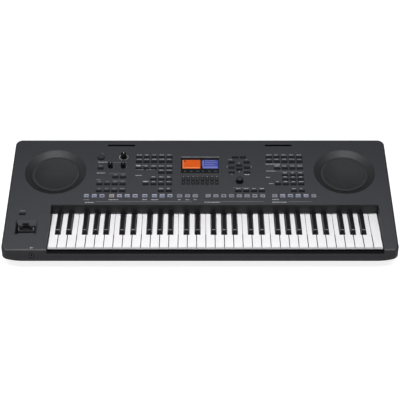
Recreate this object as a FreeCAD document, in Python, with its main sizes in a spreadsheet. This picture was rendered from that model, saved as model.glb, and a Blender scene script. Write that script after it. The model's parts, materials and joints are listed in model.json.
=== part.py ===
import FreeCAD, Part
import math
import os
import re

import Sketcher

# A 61-key arranger keyboard: X to the right, Y to the back, Z up, millimetres.
# The origin lies on the table, below the middle of the case.

OCTAVE_COUNT = 5
OCTAVE_WHITES = 7
WHITE_COUNT = 36

# Driving dimensions: name, value, what it is
DIMENSIONS = [
    ("overrun", 20, "how far a cut runs past what it cuts"),
    ("case_width", 1002, "overall width"),
    ("case_depth", 405, "overall depth"),
    ("foot_height", 8, "table to underside"),
    ("part_line", 32, "height where the case halves meet"),
    ("wall", 3, "wall of both case halves"),
    ("panel_wall", 3, "thickness of the sloping panel"),
    ("crease_height", 59, "height of the crease at the front of the cheeks"),
    ("fascia_run", 11, "how far the fascia leans forward of the crease"),
    ("fascia_low", 34, "height where the fascia turns upright"),
    ("panel_slope_angle", 10.9, "slope of the panel in degrees"),
    ("back_corner_radius", 18, "plan radius of the back corners"),
    ("front_corner_radius", 22, "plan radius of the front corners"),
    ("front_sweep_radius", 120, "plan radius of the sweep beside each front corner"),
    ("front_sweep_reach", 56, "side of the case to the straight stretch of the front"),
    ("top_edge_radius", 6, "rounding of the panel's outer edge"),
    ("base_draw", 12, "sides and back of the lower case drawn in at its underside"),
    ("base_undercut", 33, "front of the lower case drawn in at its underside"),
    ("boss_radius", 5, "screw posts in both halves"),
    ("case_screw_radius", 1.7, "case screw shank"),
    ("case_screw_head_radius", 3.5, "case screw head"),
    ("case_screw_head_height", 2.2, "case screw head height"),
    ("case_screw_length", 42, "case screw shank length"),
    ("screw_clearance", 0.15, "room round a screw shank"),
    ("foot_radius", 11, "rubber foot"),
    ("foot_taper", 1.1, "rubber foot narrower at the table"),
    ("seat_gap", 0.3, "room between a fitted piece and its seat"),
    # keys
    ("key_field_x", 38.4, "middle of the key field"),
    ("key_field_margin", 1.5, "room beside the outer keys"),
    ("key_front_setback", 24.4, "case front to key fronts"),
    ("key_top_height", 57, "height of the white key tops"),
    ("white_pitch", 23.5, "white key spacing"),
    ("white_gap", 1.1, "gap between white keys"),
    ("white_head_length", 51.5, "white key head"),
    ("key_body_height", 20, "height of a key body"),
    ("key_skin", 2.2, "key wall"),
    ("lip_thickness", 6.5, "front lip of a white key"),
    ("lip_overhang", 14, "how far the lip stands forward of the body"),
    ("tail_clearance", 0.9, "room between neighbouring tails"),
    ("black_width", 13.7, "black key at its foot"),
    ("black_top_width", 9.6, "black key at its top"),
    ("black_height", 11.5, "black key above the white tops"),
    ("black_foot_setback", 53, "white fronts to black fronts"),
    ("black_front_slope", 5.5, "lean of a black key's front"),
    ("black_end_gap", 1, "black key top to fallboard"),
    ("pivot_behind_lip", 76.8, "panel's front lip to key pivots"),
    ("pivot_height", 45, "height of the key pivots"),
    ("nose_radius", 3, "round pivot nose of a key"),
    ("neck_length", 10, "thin neck between key and nose"),
    ("neck_thickness", 3, "height of the neck"),
    ("neck_inset", 1, "neck narrower than the tail on each side"),
    ("pivot_clearance", 0.3, "room round a pivot nose"),
    ("pivot_rail_wall", 4, "pivot rail behind and below its groove"),
    ("pivot_slot_height", 4.6, "mouth of the pivot groove"),
    ("key_dip", 10, "travel of a white key at its front"),
    # fallboard, rail and slip
    ("lip_to_back", 241.8, "panel's front lip to the back of the case"),
    ("fallboard_thickness", 3, "fallboard strip"),
    ("fallboard_clear", 5, "white key tops to the fallboard's lower edge"),
    ("rail_height", 50, "top of the front rail"),
    ("rail_depth", 9, "front rail, front to back"),
    ("slip_gap", 3.4, "key fronts to the key slip"),
    ("slip_thickness", 2, "key slip"),
    ("slip_top_height", 52.9, "top of the key slip"),
    ("slip_ledge_thickness", 3, "ledge of the key slip"),
    ("slip_ledge_height", 46, "underside of the key slip"),
    # key bed
    ("frame_sheet", 2, "key frame base sheet"),
    ("frame_front_setback", 52, "case front to the key frame"),
    ("frame_wall", 8, "key frame cross walls"),
    ("felt_width", 8, "stop felts"),
    ("felt_thickness", 3, "lower stop felt"),
    ("felt_gap", 0.3, "felt to key at the end of the stroke"),
    ("upper_felt_setback", 8, "front of the fallboard to the upper stop felt"),
    ("fallboard_ledge", 24, "ledge at the foot of the fallboard"),
    ("contact_to_pivot", 108, "front of the key contact board to the key pivots"),
    ("contact_board_depth", 44, "key contact board"),
    ("board_thickness", 1.6, "every circuit board"),
    ("contact_board_height", 26, "underside of the key contact board"),
    ("dome_radius", 4, "rubber contact dome"),
    ("dome_height", 5, "rubber contact dome"),
    # speakers
    ("speaker_x", 384, "speaker centres from the middle"),
    ("speaker_line", 276, "speaker centres up the panel"),
    ("dish_radius", 81.5, "rim of the speaker dish"),
    ("dish_depth", 9, "depth of the speaker dish"),
    ("dish_wall", 3, "wall of the speaker dish"),
    ("grille_radius", 63.5, "speaker grille"),
    ("grille_thickness", 1.2, "speaker grille"),
    ("grille_ledge", 4, "ledge that carries the grille"),
    ("basket_flange_radius", 64.5, "speaker basket flange"),
    ("basket_flange_thickness", 2, "speaker basket flange"),
    ("basket_depth", 24, "speaker basket below its flange"),
    ("basket_base_radius", 30, "speaker basket at its base"),
    ("basket_sheet", 2, "speaker basket metal"),
    ("cone_paper", 1.2, "speaker cone paper"),
    ("cone_gap", 1.5, "cone to basket"),
    ("magnet_radius", 27, "speaker magnet"),
    ("magnet_height", 12, "speaker magnet"),
    # controls on the panel, at lines counted up its slope
    ("field_depth", 394, "first line of the panel field to the back of the case"),
    ("button_pitch", 20.35, "spacing of panel buttons and pads"),
    ("button_width", 15, "panel button"),
    ("button_length", 6.5, "panel button"),
    ("button_rise", 2, "panel button above the panel"),
    ("pad_width", 13, "panel pad"),
    ("pad_length", 12, "panel pad"),
    ("pad_rise", 2.2, "panel pad above the panel"),
    ("cap_clearance", 0.5, "room round a button in its hole"),
    ("cap_depth", 3.4, "button below the panel face, to its flange"),
    ("flange_margin", 1.6, "button flange beyond the cap"),
    ("flange_thickness", 1.2, "button flange"),
    ("button_travel", 1.2, "button travel"),
    ("switch_gap", 0.4, "switch to button at the end of the stroke"),
    ("switch_width", 6, "tact switch"),
    ("panel_board_drop", 15, "panel face to the top of the switch boards"),
    ("board_line_low", 168, "front edge of the switch boards, up the panel"),
    ("board_line_high", 345, "back edge of the switch boards"),
    ("middle_board_high", 262, "back edge of the middle switch board"),
    ("left_board_x", -312, "left switch board"),
    ("left_board_width", 249.5, "left switch board"),
    ("middle_board_x", -61.5, "middle switch board"),
    ("middle_board_width", 132.5, "middle switch board"),
    ("right_board_x", 72, "right switch board"),
    ("right_board_width", 240, "right switch board"),
    ("cheek_board_width", 34, "switch board under the cheek button"),
    ("cheek_board_length", 14, "switch board under the cheek button"),
    ("spacer_radius", 2.6, "switch board spacers"),
    ("spacer_inset", 3.5, "spacer from a board's edges"),
    ("line_first", 330, "row lines up the panel from the crease"),
    ("line_second", 313.5, "second row"),
    ("line_third", 288, "third row"),
    ("line_fourth", 272.5, "fourth row of the left middle block"),
    ("line_fourth_right", 262, "fourth row of the right block"),
    ("line_pair", 255, "pair in the left block"),
    ("line_fifth", 247, "fifth row"),
    ("line_sixth", 229.5, "sixth row"),
    ("line_seventh", 204, "seventh row"),
    ("line_pads", 185.5, "pads"),
    ("line_soft_upper", 249, "upper buttons below the display"),
    ("line_soft_lower", 234, "lower buttons below the display"),
    ("line_cursor_high", 311, "cursor buttons, high"),
    ("line_cursor_up", 299, "cursor up"),
    ("line_cursor_middle", 291, "cursor buttons, middle"),
    ("line_cursor_down", 284.5, "cursor down"),
    ("left_block_x", -265, "first column of the left block"),
    ("style_block_x", -163.5, "first column of the left middle block"),
    ("cursor_block_x", 84.5, "first column of the cursor block"),
    ("quad_block_x", 100.8, "first of the row of four"),
    ("voice_block_x", 185.4, "first column of the right block"),
    ("soft_block_x", -43.8, "first button below the display"),
    ("soft_pitch", 12.57, "spacing of the buttons below the display"),
    ("soft_width", 8.6, "button below the display"),
    ("soft_upper_length", 13, "upper button below the display"),
    ("soft_lower_length", 9.5, "lower button below the display"),
    ("pads_first_x", -296.4, "pads, first set"),
    ("pads_second_x", -230.6, "pads, second set"),
    ("pads_third_x", -144.2, "pads, single"),
    ("pads_fourth_x", -119, "pads, fourth set"),
    ("pads_fifth_x", -53, "pads, fifth set"),
    ("pads_sixth_x", 21.2, "pads, sixth set"),
    ("pads_seventh_x", 195.3, "pads, seventh set"),
    ("cheek_button_x", -457.5, "button over the joystick"),
    ("cheek_button_line", 122.5, "button over the joystick, up the panel"),
    ("power_x", -266, "power button"),
    ("power_radius", 8, "power button"),
    ("power_rise", 3, "power button above the panel"),
    # knobs
    ("knob_x", -205, "volume knob and right control knob"),
    ("left_knob_x", -239, "left control knob"),
    ("knob_line", 331, "volume knob up the panel"),
    ("live_line", 294, "control knobs up the panel"),
    ("volume_radius", 8, "volume knob"),
    ("live_radius", 6.8, "control knobs"),
    ("knob_height", 13, "knobs above the panel"),
    ("knob_skirt", 2, "how far a knob's skirt stands out at its foot"),
    ("knob_lift", 0.4, "panel to knob"),
    ("dial_x", 104.6, "data dial"),
    ("dial_line", 241, "data dial up the panel"),
    ("dial_radius", 9, "data dial"),
    ("dial_height", 9, "data dial above the panel"),
    ("shaft_radius", 3, "control shaft"),
    ("shaft_clearance", 0.1, "room round a shaft in its bush"),
    ("shaft_hole_clearance", 0.6, "room round a shaft in the panel"),
    ("pot_width", 15, "potentiometer body"),
    # display
    ("window_width", 101, "display window"),
    ("window_length", 56.7, "display window"),
    ("window_line", 299.4, "display window up the panel"),
    ("window_thickness", 2.6, "display window"),
    ("window_margin", 0.3, "room round the window"),
    ("module_margin", 4, "display module beyond the window"),
    ("module_thickness", 8, "display module"),
    # joystick
    ("stick_x", -443.4, "joystick"),
    ("stick_line", 77, "joystick up the panel"),
    ("well_width", 55, "joystick well at the panel"),
    ("well_length", 48, "joystick well at the panel"),
    ("well_floor_width", 43, "joystick well floor"),
    ("well_floor_length", 27, "joystick well floor"),
    ("well_depth", 11, "joystick well"),
    ("well_wall", 1.5, "joystick housing beyond the well"),
    ("housing_depth", 17, "joystick housing"),
    ("drum_radius", 10, "joystick drum"),
    ("drum_length", 42, "joystick drum"),
    ("drum_drop", 10, "panel to the drum's axis"),
    ("drum_clearance", 0.5, "room round the drum"),
    ("drum_pin_radius", 2, "drum pivot pins"),
    ("drum_pin_length", 5, "drum pivot pins"),
    ("stick_slot_width", 19, "slot in the drum, side to side"),
    ("stick_slot_length", 6, "slot in the drum, front to back"),
    ("stick_thickness", 5, "lever, front to back"),
    ("stick_width", 6.5, "lever, side to side"),
    ("stick_height", 23, "lever above the drum's axis"),
    ("stick_tail", 6, "lever below its pivot"),
    ("stick_head_width", 16, "cross head of the lever"),
    ("stick_head_height", 5, "cross head of the lever"),
    ("stick_pin_radius", 1.6, "lever pivot pin"),
    ("stick_pin_length", 12, "lever pivot pin"),
    ("pin_clearance", 0.1, "room round the joystick pins"),
    # sockets
    ("jack_bore_radius", 3.25, "bore of a 6.35 mm socket"),
    ("jack_bore_length", 26, "depth of a 6.35 mm socket"),
    ("jack_mouth_radius", 4.1, "wider mouth of a socket in the case wall"),
    ("jack_bush_radius", 5.2, "threaded bush of a socket"),
    ("jack_hole_clearance", 0.3, "room round a bush in the case"),
    ("jack_body_width", 15, "socket body"),
    ("jack_body_length", 27, "socket body behind the wall"),
    ("jack_height", 56, "rear sockets above the table"),
    ("jack_first_x", 60, "first rear socket"),
    ("jack_pitch", 30, "rear socket spacing"),
    ("phones_x", -422.8, "headphone socket"),
    ("phones_height", 45.5, "headphone socket above the table"),
    ("usb_x", -70, "host USB socket"),
    ("usb_shell_width", 14.5, "host USB socket"),
    ("usb_shell_height", 7, "host USB socket"),
    ("usb_mouth_width", 12.5, "host USB mouth"),
    ("usb_mouth_height", 5, "host USB mouth"),
    ("device_x", -110, "device USB socket"),
    ("device_shell", 12, "device USB socket"),
    ("device_mouth", 8.4, "device USB mouth"),
    ("usb_length", 16, "USB sockets"),
    ("usb_mouth_depth", 12, "USB mouths"),
    ("inlet_x", 240, "power inlet"),
    ("inlet_width", 11, "power inlet body"),
    ("inlet_bore_radius", 2.9, "power inlet bore"),
    ("inlet_pin_radius", 1, "power inlet centre pin"),
    ("inlet_bore_depth", 10, "power inlet bore"),
    ("inlet_length", 16, "power inlet body"),
    ("jack_board_margin", 12, "jack board beyond its sockets"),
    ("jack_board_depth", 34, "jack board"),
    ("post_radius", 4, "board posts"),
    ("main_board_width", 300, "main board"),
    ("main_board_gap", 15, "key frame to the main board"),
    ("main_board_height", 20, "underside of the main board"),
    ("main_board_back", 42, "main board to the back of the case"),
    ("chip_width", 28, "processor package"),
    ("chip_height", 2.5, "processor package"),
    # music rest
    ("rest_slot_x", 213, "music rest slots from the middle"),
    ("rest_slot_width", 73, "music rest slot"),
    ("rest_slot_length", 6.4, "music rest slot"),
    ("rest_slot_line", 376.5, "music rest slots up the panel"),
    ("rest_slot_depth", 22, "music rest pocket"),
    ("rest_pocket_wall", 2.4, "music rest pocket"),
]

# Screw posts: shares of half the width and half the depth
BOSS_SHARES = [
    (-0.945, 0.86), (-0.60, 0.92), (0.60, 0.92), (0.945, 0.86), (-0.945, -0.12), (0.965, -0.12),
    (-0.945, -0.77), (-0.81, -0.77), (0.945, -0.77),
]
# Feet: shares of half the width and half the depth
FOOT_SHARES = [(-0.86, -0.74), (0.0, -0.74), (0.86, -0.74), (-0.86, 0.74), (0.0, 0.74), (0.86, 0.74)]

doc = FreeCAD.newDocument("arranger_keyboard")
sheet = doc.addObject("Spreadsheet::Sheet", "dims")
NAMES = set()
for line, (alias, value, note) in enumerate(DIMENSIONS, start=1):
    sheet.set("A%d" % line, str(value))
    sheet.setAlias("A%d" % line, alias)
    sheet.set("B%d" % line, note)
    NAMES.add(alias)
doc.recompute()


def linked(text):
    """Turn the sheet's names in an expression into references to the sheet."""
    return re.sub(r"[a-z_]+", lambda word: "dims." + word.group() if word.group() in NAMES
                  else word.group(), text)


def size(alias):
    """Read one of the sheet's numbers."""
    return float(sheet.get(alias))


def number(text):
    """Work out an expression now, for a sketch's first draft."""
    return float(sheet.evalExpression(linked(text)))


def bind(thing, prop, text):
    """Bind one property to an expression in the sheet's names."""
    thing.setExpression(prop, linked(text))


def place(thing, at):
    """Bind a piece's place to three expressions."""
    for axis, text in zip("xyz", at):
        bind(thing, "Placement.Base." + axis, text)
    return thing


def box(name, lengths, low):
    """A box from its three lengths and its low corner."""
    piece = doc.addObject("Part::Box", name)
    for prop, text in zip(("Length", "Width", "Height"), lengths):
        bind(piece, prop, text)
    return place(piece, low)


UP = FreeCAD.Vector(0, 0, 1)
BACK = FreeCAD.Vector(0, 1, 0)
RIGHT = FreeCAD.Vector(1, 0, 0)


def rod(name, radius, length, start, along=UP):
    """A round bar from the middle of its first end."""
    piece = doc.addObject("Part::Cylinder", name)
    bind(piece, "Radius", radius)
    bind(piece, "Height", length)
    piece.Placement = FreeCAD.Placement(FreeCAD.Vector(), FreeCAD.Rotation(UP, along))
    return place(piece, start)


def frustum(name, low_radius, high_radius, height, start):
    """A round taper standing up from the middle of its low end."""
    piece = doc.addObject("Part::Cone", name)
    bind(piece, "Radius1", low_radius)
    bind(piece, "Radius2", high_radius)
    bind(piece, "Height", height)
    return place(piece, start)


def wedge(name, middle, low_end, high_end, low, high):
    """A straight taper upwards: each end is (width, front, back) about a middle X."""
    piece = doc.addObject("Part::Wedge", name)
    for prefix, (width, front, back) in (("", low_end), ("2", high_end)):
        bind(piece, "X%smin" % prefix, "%s - (%s) / 2" % (middle, width))
        bind(piece, "X%smax" % prefix, "%s + (%s) / 2" % (middle, width))
        bind(piece, "Z%smin" % prefix, "-(%s)" % back)
        bind(piece, "Z%smax" % prefix, "-(%s)" % front)
    bind(piece, "Ymin", low)
    bind(piece, "Ymax", high)
    quarter_turn = FreeCAD.Rotation(BACK, UP)
    piece.Placement = FreeCAD.Placement(FreeCAD.Vector(), quarter_turn)
    return piece


def fuse(name, pieces):
    """One solid from several."""
    joined = doc.addObject("Part::MultiFuse", name)
    joined.Shapes = pieces
    joined.Refine = True
    return joined


def cut(name, base, tools):
    """A piece with other pieces cut out of it."""
    result = doc.addObject("Part::Cut", name)
    result.Base = base
    result.Tool = tools[0] if len(tools) == 1 else group(name + "_tools", tools)
    result.Refine = True
    return result


def group(name, pieces):
    """Separate solids kept together."""
    result = doc.addObject("Part::Compound", name)
    result.Links = pieces
    return result


def on_panel(name, pieces, first_line=None):
    """Pieces drawn flat, laid on the panel: X across, Y up the slope from a first line, Z out of it."""
    origin = first_line or FIELD_Y
    result = group(name, pieces)
    result.Placement = FreeCAD.Placement(FreeCAD.Vector(), FreeCAD.Rotation(RIGHT, 1))
    bind(result, "Placement.Rotation.Angle", "panel_slope_angle")
    return place(result, ("0", origin, panel_height(origin)))


NODES = []


def node(label, thing):
    """Name a finished piece: the label is its file's name."""
    thing.Label = label
    NODES.append(thing)
    return thing


FRONT_Y = "(-case_depth / 2)"
CREASE_Y = "(fascia_run - case_depth / 2)"
KEY_FRONT_Y = "(key_front_setback - case_depth / 2)"
FIELD_Y = "(case_depth / 2 - field_depth)"
LIP_Y = "(case_depth / 2 - lip_to_back)"
PIVOT_Y = "(%s + pivot_behind_lip)" % LIP_Y
KEY_LEFT_X = "(key_field_x - white_pitch * %d)" % (WHITE_COUNT // 2)
KEY_SPAN = "(white_pitch * %d)" % WHITE_COUNT
OPENING_X = "(%s - key_field_margin)" % KEY_LEFT_X
OPENING_WIDTH = "(%s + 2 * key_field_margin)" % KEY_SPAN
PANEL_DROP = "(panel_wall / cos(panel_slope_angle))"
FLOOR_HEIGHT = "(foot_height + wall)"


def panel_height(at_y):
    """Height of the panel's face at a place front to back."""
    return "(crease_height + (%s - %s) * tan(panel_slope_angle))" % (at_y, CREASE_Y)


def origin_plane(body, role):
    """One of a body's own origin planes."""
    return next(f for f in body.Origin.OriginFeatures if f.Role == role)


def new_sketch(body, name, role):
    """A sketch on one of a body's own origin planes."""
    sketch = body.newObject("Sketcher::SketchObject", name)
    sketch.AttachmentSupport = [(origin_plane(body, role), "")]
    sketch.MapMode = "FlatFace"
    return sketch


def constrain(sketch, text, kind, *where):
    """Add one sized constraint bound to the sheet."""
    index = sketch.addConstraint(Sketcher.Constraint(kind, *where, number(text)))
    sketch.setExpression("Constraints[%d]" % index, linked(text))


def pad(body, name, sketch, length, symmetric=False):
    """Raise a sketch."""
    feature = body.newObject("PartDesign::Pad", name)
    feature.Profile = (sketch, [""])
    bind(feature, "Length", length)
    if symmetric:
        feature.SideType = "Symmetric"
    return feature


def closed_path(sketch, points):
    """A closed run of straight lines whose corners are bound to pairs of expressions."""
    count = len(points)
    spots = [FreeCAD.Vector(number(across), number(along)) for across, along in points]
    for i, spot in enumerate(spots):
        sketch.addGeometry(Part.LineSegment(spot, spots[(i + 1) % count]), False)
    for i, (across, along) in enumerate(points):
        sketch.addConstraint(Sketcher.Constraint("Coincident", i, 2, (i + 1) % count, 1))
    for i, (across, along) in enumerate(points):
        constrain(sketch, across, "DistanceX", -1, 1, i, 1)
        constrain(sketch, along, "DistanceY", -1, 1, i, 1)


def case_outline(body, name, inset, front_inset, trim):
    """The case's plan: sides and back drawn in by an inset, the front by its own, corners by a trim."""
    sketch = new_sketch(body, name, "XY_Plane")
    half = size("case_width") / 2 - number(inset)
    back = size("case_depth") / 2 - number(inset)
    front = size("case_depth") / 2 - number(front_inset)
    round_back = size("back_corner_radius") - number(trim)
    tight = size("front_corner_radius") - number(trim)
    sweep = size("front_sweep_radius") - number(trim)
    flat = size("case_width") / 2 - size("front_sweep_reach")
    tight_x = half - tight
    lean = math.acos((tight_x - flat) / (sweep - tight))
    tight_y = sweep - front - (sweep - tight) * math.sin(lean)
    vector = FreeCAD.Vector

    def arc(middle_x, middle_y, radius, start, end):
        """An arc counter-clockwise between two angles."""
        circle = Part.Circle(vector(middle_x, middle_y), UP, radius)
        return Part.ArcOfCircle(circle, start, end)

    quarter = math.pi / 2
    right = vector(half, tight_y), vector(half, back - round_back)
    pieces = [
        Part.LineSegment(vector(-flat, -front), vector(flat, -front)),
        arc(flat, sweep - front, sweep, -quarter, -lean),
        arc(tight_x, tight_y, tight, -lean, 0),
        Part.LineSegment(*right),
        arc(half - round_back, back - round_back, round_back, 0, quarter),
        Part.LineSegment(vector(half - round_back, back), vector(round_back - half, back)),
        arc(round_back - half, back - round_back, round_back, quarter, 2 * quarter),
        Part.LineSegment(vector(-half, back - round_back), vector(-half, tight_y)),
        arc(-tight_x, tight_y, tight, 2 * quarter, 2 * quarter + lean),
        arc(-flat, sweep - front, sweep, 2 * quarter + lean, 3 * quarter),
    ]
    for piece in pieces:
        sketch.addGeometry(piece, False)
    count = len(pieces)
    for i in range(count):
        sketch.addConstraint(Sketcher.Constraint("Tangent", i, 2, (i + 1) % count, 1))
    for side in (3, 7):
        sketch.addConstraint(Sketcher.Constraint("Vertical", side))
    for first, second in ((1, 9), (2, 8), (4, 6)):
        sketch.addConstraint(Sketcher.Constraint("Equal", first, second))
    sketch.addConstraint(Sketcher.Constraint("Symmetric", 0, 1, 0, 2, -2))
    sketch.addConstraint(Sketcher.Constraint("Symmetric", 5, 1, 5, 2, -2))
    constrain(sketch, "front_sweep_radius - " + trim, "Radius", 1)
    constrain(sketch, "front_corner_radius - " + trim, "Radius", 2)
    constrain(sketch, "back_corner_radius - " + trim, "Radius", 4)
    constrain(sketch, "case_width - 2 * front_sweep_reach", "DistanceX", 0, 1, 0, 2)
    constrain(sketch, "case_width - 2 * (%s)" % inset, "DistanceX", 7, 1, 3, 1)
    constrain(sketch, "case_depth - (%s) - (%s)" % (inset, front_inset), "DistanceY", 0, 1, 5, 2)
    constrain(sketch, "case_depth / 2 - (%s)" % inset, "DistanceY", -1, 1, 5, 2)
    return sketch


def case_prism(name, inset, low, high):
    """The case's plan raised between two heights."""
    body = doc.addObject("PartDesign::Body", name)
    plan = case_outline(body, name + "_plan", inset, inset, inset)
    body.Tip = pad(body, name + "_pad", plan, "%s - (%s)" % (high, low))
    bind(body, "Placement.Base.z", low)
    return body


def case_taper(name, trim, low_plan, high_plan):
    """A taper between two of the case's plans: each is (height, side inset, front inset)."""
    body = doc.addObject("PartDesign::Body", name)
    plans = []
    for end, (height, inset, front_inset) in (("low", low_plan), ("high", high_plan)):
        plan = case_outline(body, "%s_%s_plan" % (name, end), inset, front_inset, trim)
        plan.setExpression("AttachmentOffset.Base.z", linked(height))
        plans.append(plan)
    doc.recompute()
    taper = body.newObject("PartDesign::AdditiveLoft", name + "_taper")
    taper.Profile = (plans[0], [""])
    taper.Sections = [(plans[1], [""])]
    taper.Ruled = True
    body.Tip = taper
    return body


def side_prism(name, points, width):
    """A side view, drawn as (Y, Z) expressions, run across the case."""
    body = doc.addObject("PartDesign::Body", name)
    sketch = new_sketch(body, name + "_side", "YZ_Plane")
    closed_path(sketch, points)
    body.Tip = pad(body, name + "_pad", sketch, width, symmetric=True)
    return body


def common(name, first, second):
    """What two pieces share."""
    result = doc.addObject("Part::Common", name)
    result.Base = first
    result.Tool = second
    return result


def case_posts(name, radius, low, high):
    """Round bars at every screw post."""
    return [
        rod("%s_%d" % (name, i), radius, "%s - (%s)" % (high, low),
            ("case_width / 2 * %s" % across, "case_depth / 2 * %s" % along, low))
        for i, (across, along) in enumerate(BOSS_SHARES)
    ]


# Outer and inner shape of the upper case

BACK_Y = "(case_depth / 2)"
SKY = "(crease_height + case_depth)"
FASCIA_LEAN = "(fascia_run / (crease_height - fascia_low))"
SLOPE_TAN = "tan(panel_slope_angle)"
INNER_Q = "((wall - %s * %s) / (1 - %s * %s))" % (FASCIA_LEAN, PANEL_DROP, FASCIA_LEAN, SLOPE_TAN)
INNER_CREASE = (CREASE_Y + " + " + INNER_Q, "crease_height - %s + %s * %s" % (PANEL_DROP, INNER_Q, SLOPE_TAN))

upper_plan = case_prism("upper_plan", "0", "part_line", SKY)
upper_side = side_prism("upper_side", [
    (FRONT_Y, "part_line"), (FRONT_Y, "fascia_low"), (CREASE_Y, "crease_height"),
    (BACK_Y, panel_height(BACK_Y)), (BACK_Y, "part_line"),
], "case_width")
upper_block = common("upper_block", upper_plan, upper_side)
doc.recompute()

upper_body = doc.addObject("PartDesign::Body", "upper_body")
upper_body.BaseFeature = upper_block
doc.recompute()


def panel_rim(shape):
    """The outer edges of the panel's face, crease included."""
    slope = math.radians(size("panel_slope_angle"))
    crease_y = size("fascia_run") - size("case_depth") / 2
    for count, face in enumerate(shape.Faces, start=1):
        lift = face.CenterOfMass.z - size("crease_height")
        if abs(lift - (face.CenterOfMass.y - crease_y) * math.tan(slope)) < size("seat_gap"):
            return ["Face%d" % count]
    raise RuntimeError("the panel's face was not found")


rim = upper_body.newObject("PartDesign::Fillet", "upper_rim")
rim.Base = (upper_body.Group[0], panel_rim(upper_body.Group[0].Shape))
bind(rim, "Radius", "top_edge_radius")
upper_body.Tip = rim

inner_plan = case_prism("inner_plan", "wall", "part_line - overrun", SKY)
inner_side = side_prism("inner_side", [
    ("%s + wall" % FRONT_Y, "part_line - overrun"), ("%s + wall" % FRONT_Y, "fascia_low"), INNER_CREASE,
    ("%s - wall" % BACK_Y, "%s - %s" % (panel_height("(%s - wall)" % BACK_Y), PANEL_DROP)),
    ("%s - wall" % BACK_Y, "part_line - overrun"),
], "case_width")
inner_block = common("inner_block", inner_plan, inner_side)


def opening_web(name, low_x):
    """The upright wall of a cheek beside the keys."""
    return box(name, ("wall", "%s - %s" % (LIP_Y, FRONT_Y), SKY), (low_x, FRONT_Y, "part_line - overrun"))


webs = [
    opening_web("left_web", "%s - wall" % OPENING_X),
    opening_web("right_web", "%s + %s" % (OPENING_X, OPENING_WIDTH)),
]


def rest_slot(name, side, grow, depth):
    """A music rest slot, or its pocket, cut straight down at one side."""
    slot_y = "(%s + rest_slot_line * cos(panel_slope_angle))" % FIELD_Y
    return box(name, (
        "rest_slot_width + 2 * %s" % grow, "rest_slot_length + 2 * %s" % grow, SKY,
    ), (
        "%s * rest_slot_x - rest_slot_width / 2 - %s" % (side, grow),
        "%s - rest_slot_length / 2 - %s" % (slot_y, grow),
        "%s - %s" % (panel_height(slot_y), depth),
    ))


SIDES = {"left": "-1", "right": "1"}
pockets = [rest_slot(name + "_pocket", side, "rest_pocket_wall", "(rest_slot_depth + rest_pocket_wall)")
           for name, side in SIDES.items()]
slots = [rest_slot(name + "_slot", side, "0", "rest_slot_depth") for name, side in SIDES.items()]
cavity = cut("cavity", inner_block, webs + pockets + case_posts("upper_post", "boss_radius",
                                                              "part_line - overrun", SKY))
shell = cut("shell", upper_body, [cavity])

# Speaker dishes, drawn on the panel

DISH_FLOOR = "(dish_depth + dish_wall)"


def speaker_places():
    """The two speaker centres on the panel."""
    return [(name, "%s * speaker_x" % side) for name, side in SIDES.items()]


bowls = [
    frustum(name + "_bowl", "grille_radius + dish_wall", "dish_radius + dish_wall",
            "%s - panel_wall / 2" % DISH_FLOOR, (at_x, "speaker_line", "-" + DISH_FLOOR))
    for name, at_x in speaker_places()
]
dish_cuts = []
for name, at_x in speaker_places():
    flare = "(dish_radius - grille_radius) / dish_depth * dish_wall"
    dish_cuts.append(frustum(name + "_dish", "grille_radius", "dish_radius + " + flare,
                             "dish_depth + dish_wall", (at_x, "speaker_line", "-dish_depth")))
    dish_cuts.append(rod(name + "_throat", "grille_radius - grille_ledge", "dish_depth + overrun",
                         (at_x, "speaker_line", "-(dish_depth + overrun)")))

# Rows of buttons and pads: node, first column's X, row line, count, stride in pitches, pitch, cap

BUTTON = ("button_width", "button_length", "button_rise")
PAD = ("pad_width", "pad_length", "pad_rise")
SOFT_UPPER = ("soft_width", "soft_upper_length", "button_rise")
SOFT_LOWER = ("soft_width", "soft_lower_length", "button_rise")


def column(block, index):
    """X of one column of a block of buttons."""
    return "(%s + %s * button_pitch)" % (block, index)


BUTTON_ROWS = {
    "left_buttons": [
        (column("left_block_x", 0), "line_third", 1, 1), (column("left_block_x", 2), "line_pair", 2, 1),
        (column("left_block_x", 0), "line_sixth", 4, 1), (column("left_block_x", 0), "line_seventh", 4, 1),
    ],
    "style_buttons": [
        ("style_block_x", "line_first", 5, 1), ("style_block_x", "line_second", 5, 1),
        ("style_block_x", "line_third", 5, 1), (column("style_block_x", 3), "line_fourth", 2, 1),
    ],
    "setting_buttons": [
        (column("style_block_x", 2), "line_fifth", 3, 1), (column("style_block_x", 1), "line_sixth", 4, 1),
        (column("style_block_x", 3), "line_seventh", 2, 1),
    ],
    "cursor_buttons": [
        (column("cursor_block_x", 0.5), "line_first", 2, 1), ("cursor_block_x", "line_cursor_high", 2, 2),
        (column("cursor_block_x", 1), "line_cursor_up", 1, 1), ("cursor_block_x", "line_cursor_middle", 2, 2),
        (column("cursor_block_x", 1), "line_cursor_down", 1, 1), ("cursor_block_x", "line_fourth", 2, 2),
        ("quad_block_x", "line_seventh", 4, 1),
    ],
    "voice_buttons": [
        ("voice_block_x", "line_first", 5, 1), ("voice_block_x", "line_second", 5, 1),
        (column("voice_block_x", 1), "line_third", 4, 1),
    ],
    "effect_buttons": [
        (column("voice_block_x", 2), "line_fourth_right", 3, 1),
        (column("voice_block_x", 2), "line_fifth", 3, 1),
        (column("voice_block_x", 1), "line_sixth", 4, 1), (column("voice_block_x", 3), "line_seventh", 2, 1),
    ],
    "cheek_button": [("cheek_button_x", "cheek_button_line", 1, 1)],
}
PAD_ROWS = {
    "style_pads": [
        ("pads_first_x", "line_pads", 3, 1), ("pads_second_x", "line_pads", 4, 1),
        ("pads_third_x", "line_pads", 1, 1), ("pads_fourth_x", "line_pads", 3, 1),
        ("pads_fifth_x", "line_pads", 3, 1),
    ],
    "memory_pads": [("pads_sixth_x", "line_pads", 8, 1)],
    "part_pads": [("pads_seventh_x", "line_pads", 6, 1)],
}
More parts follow.
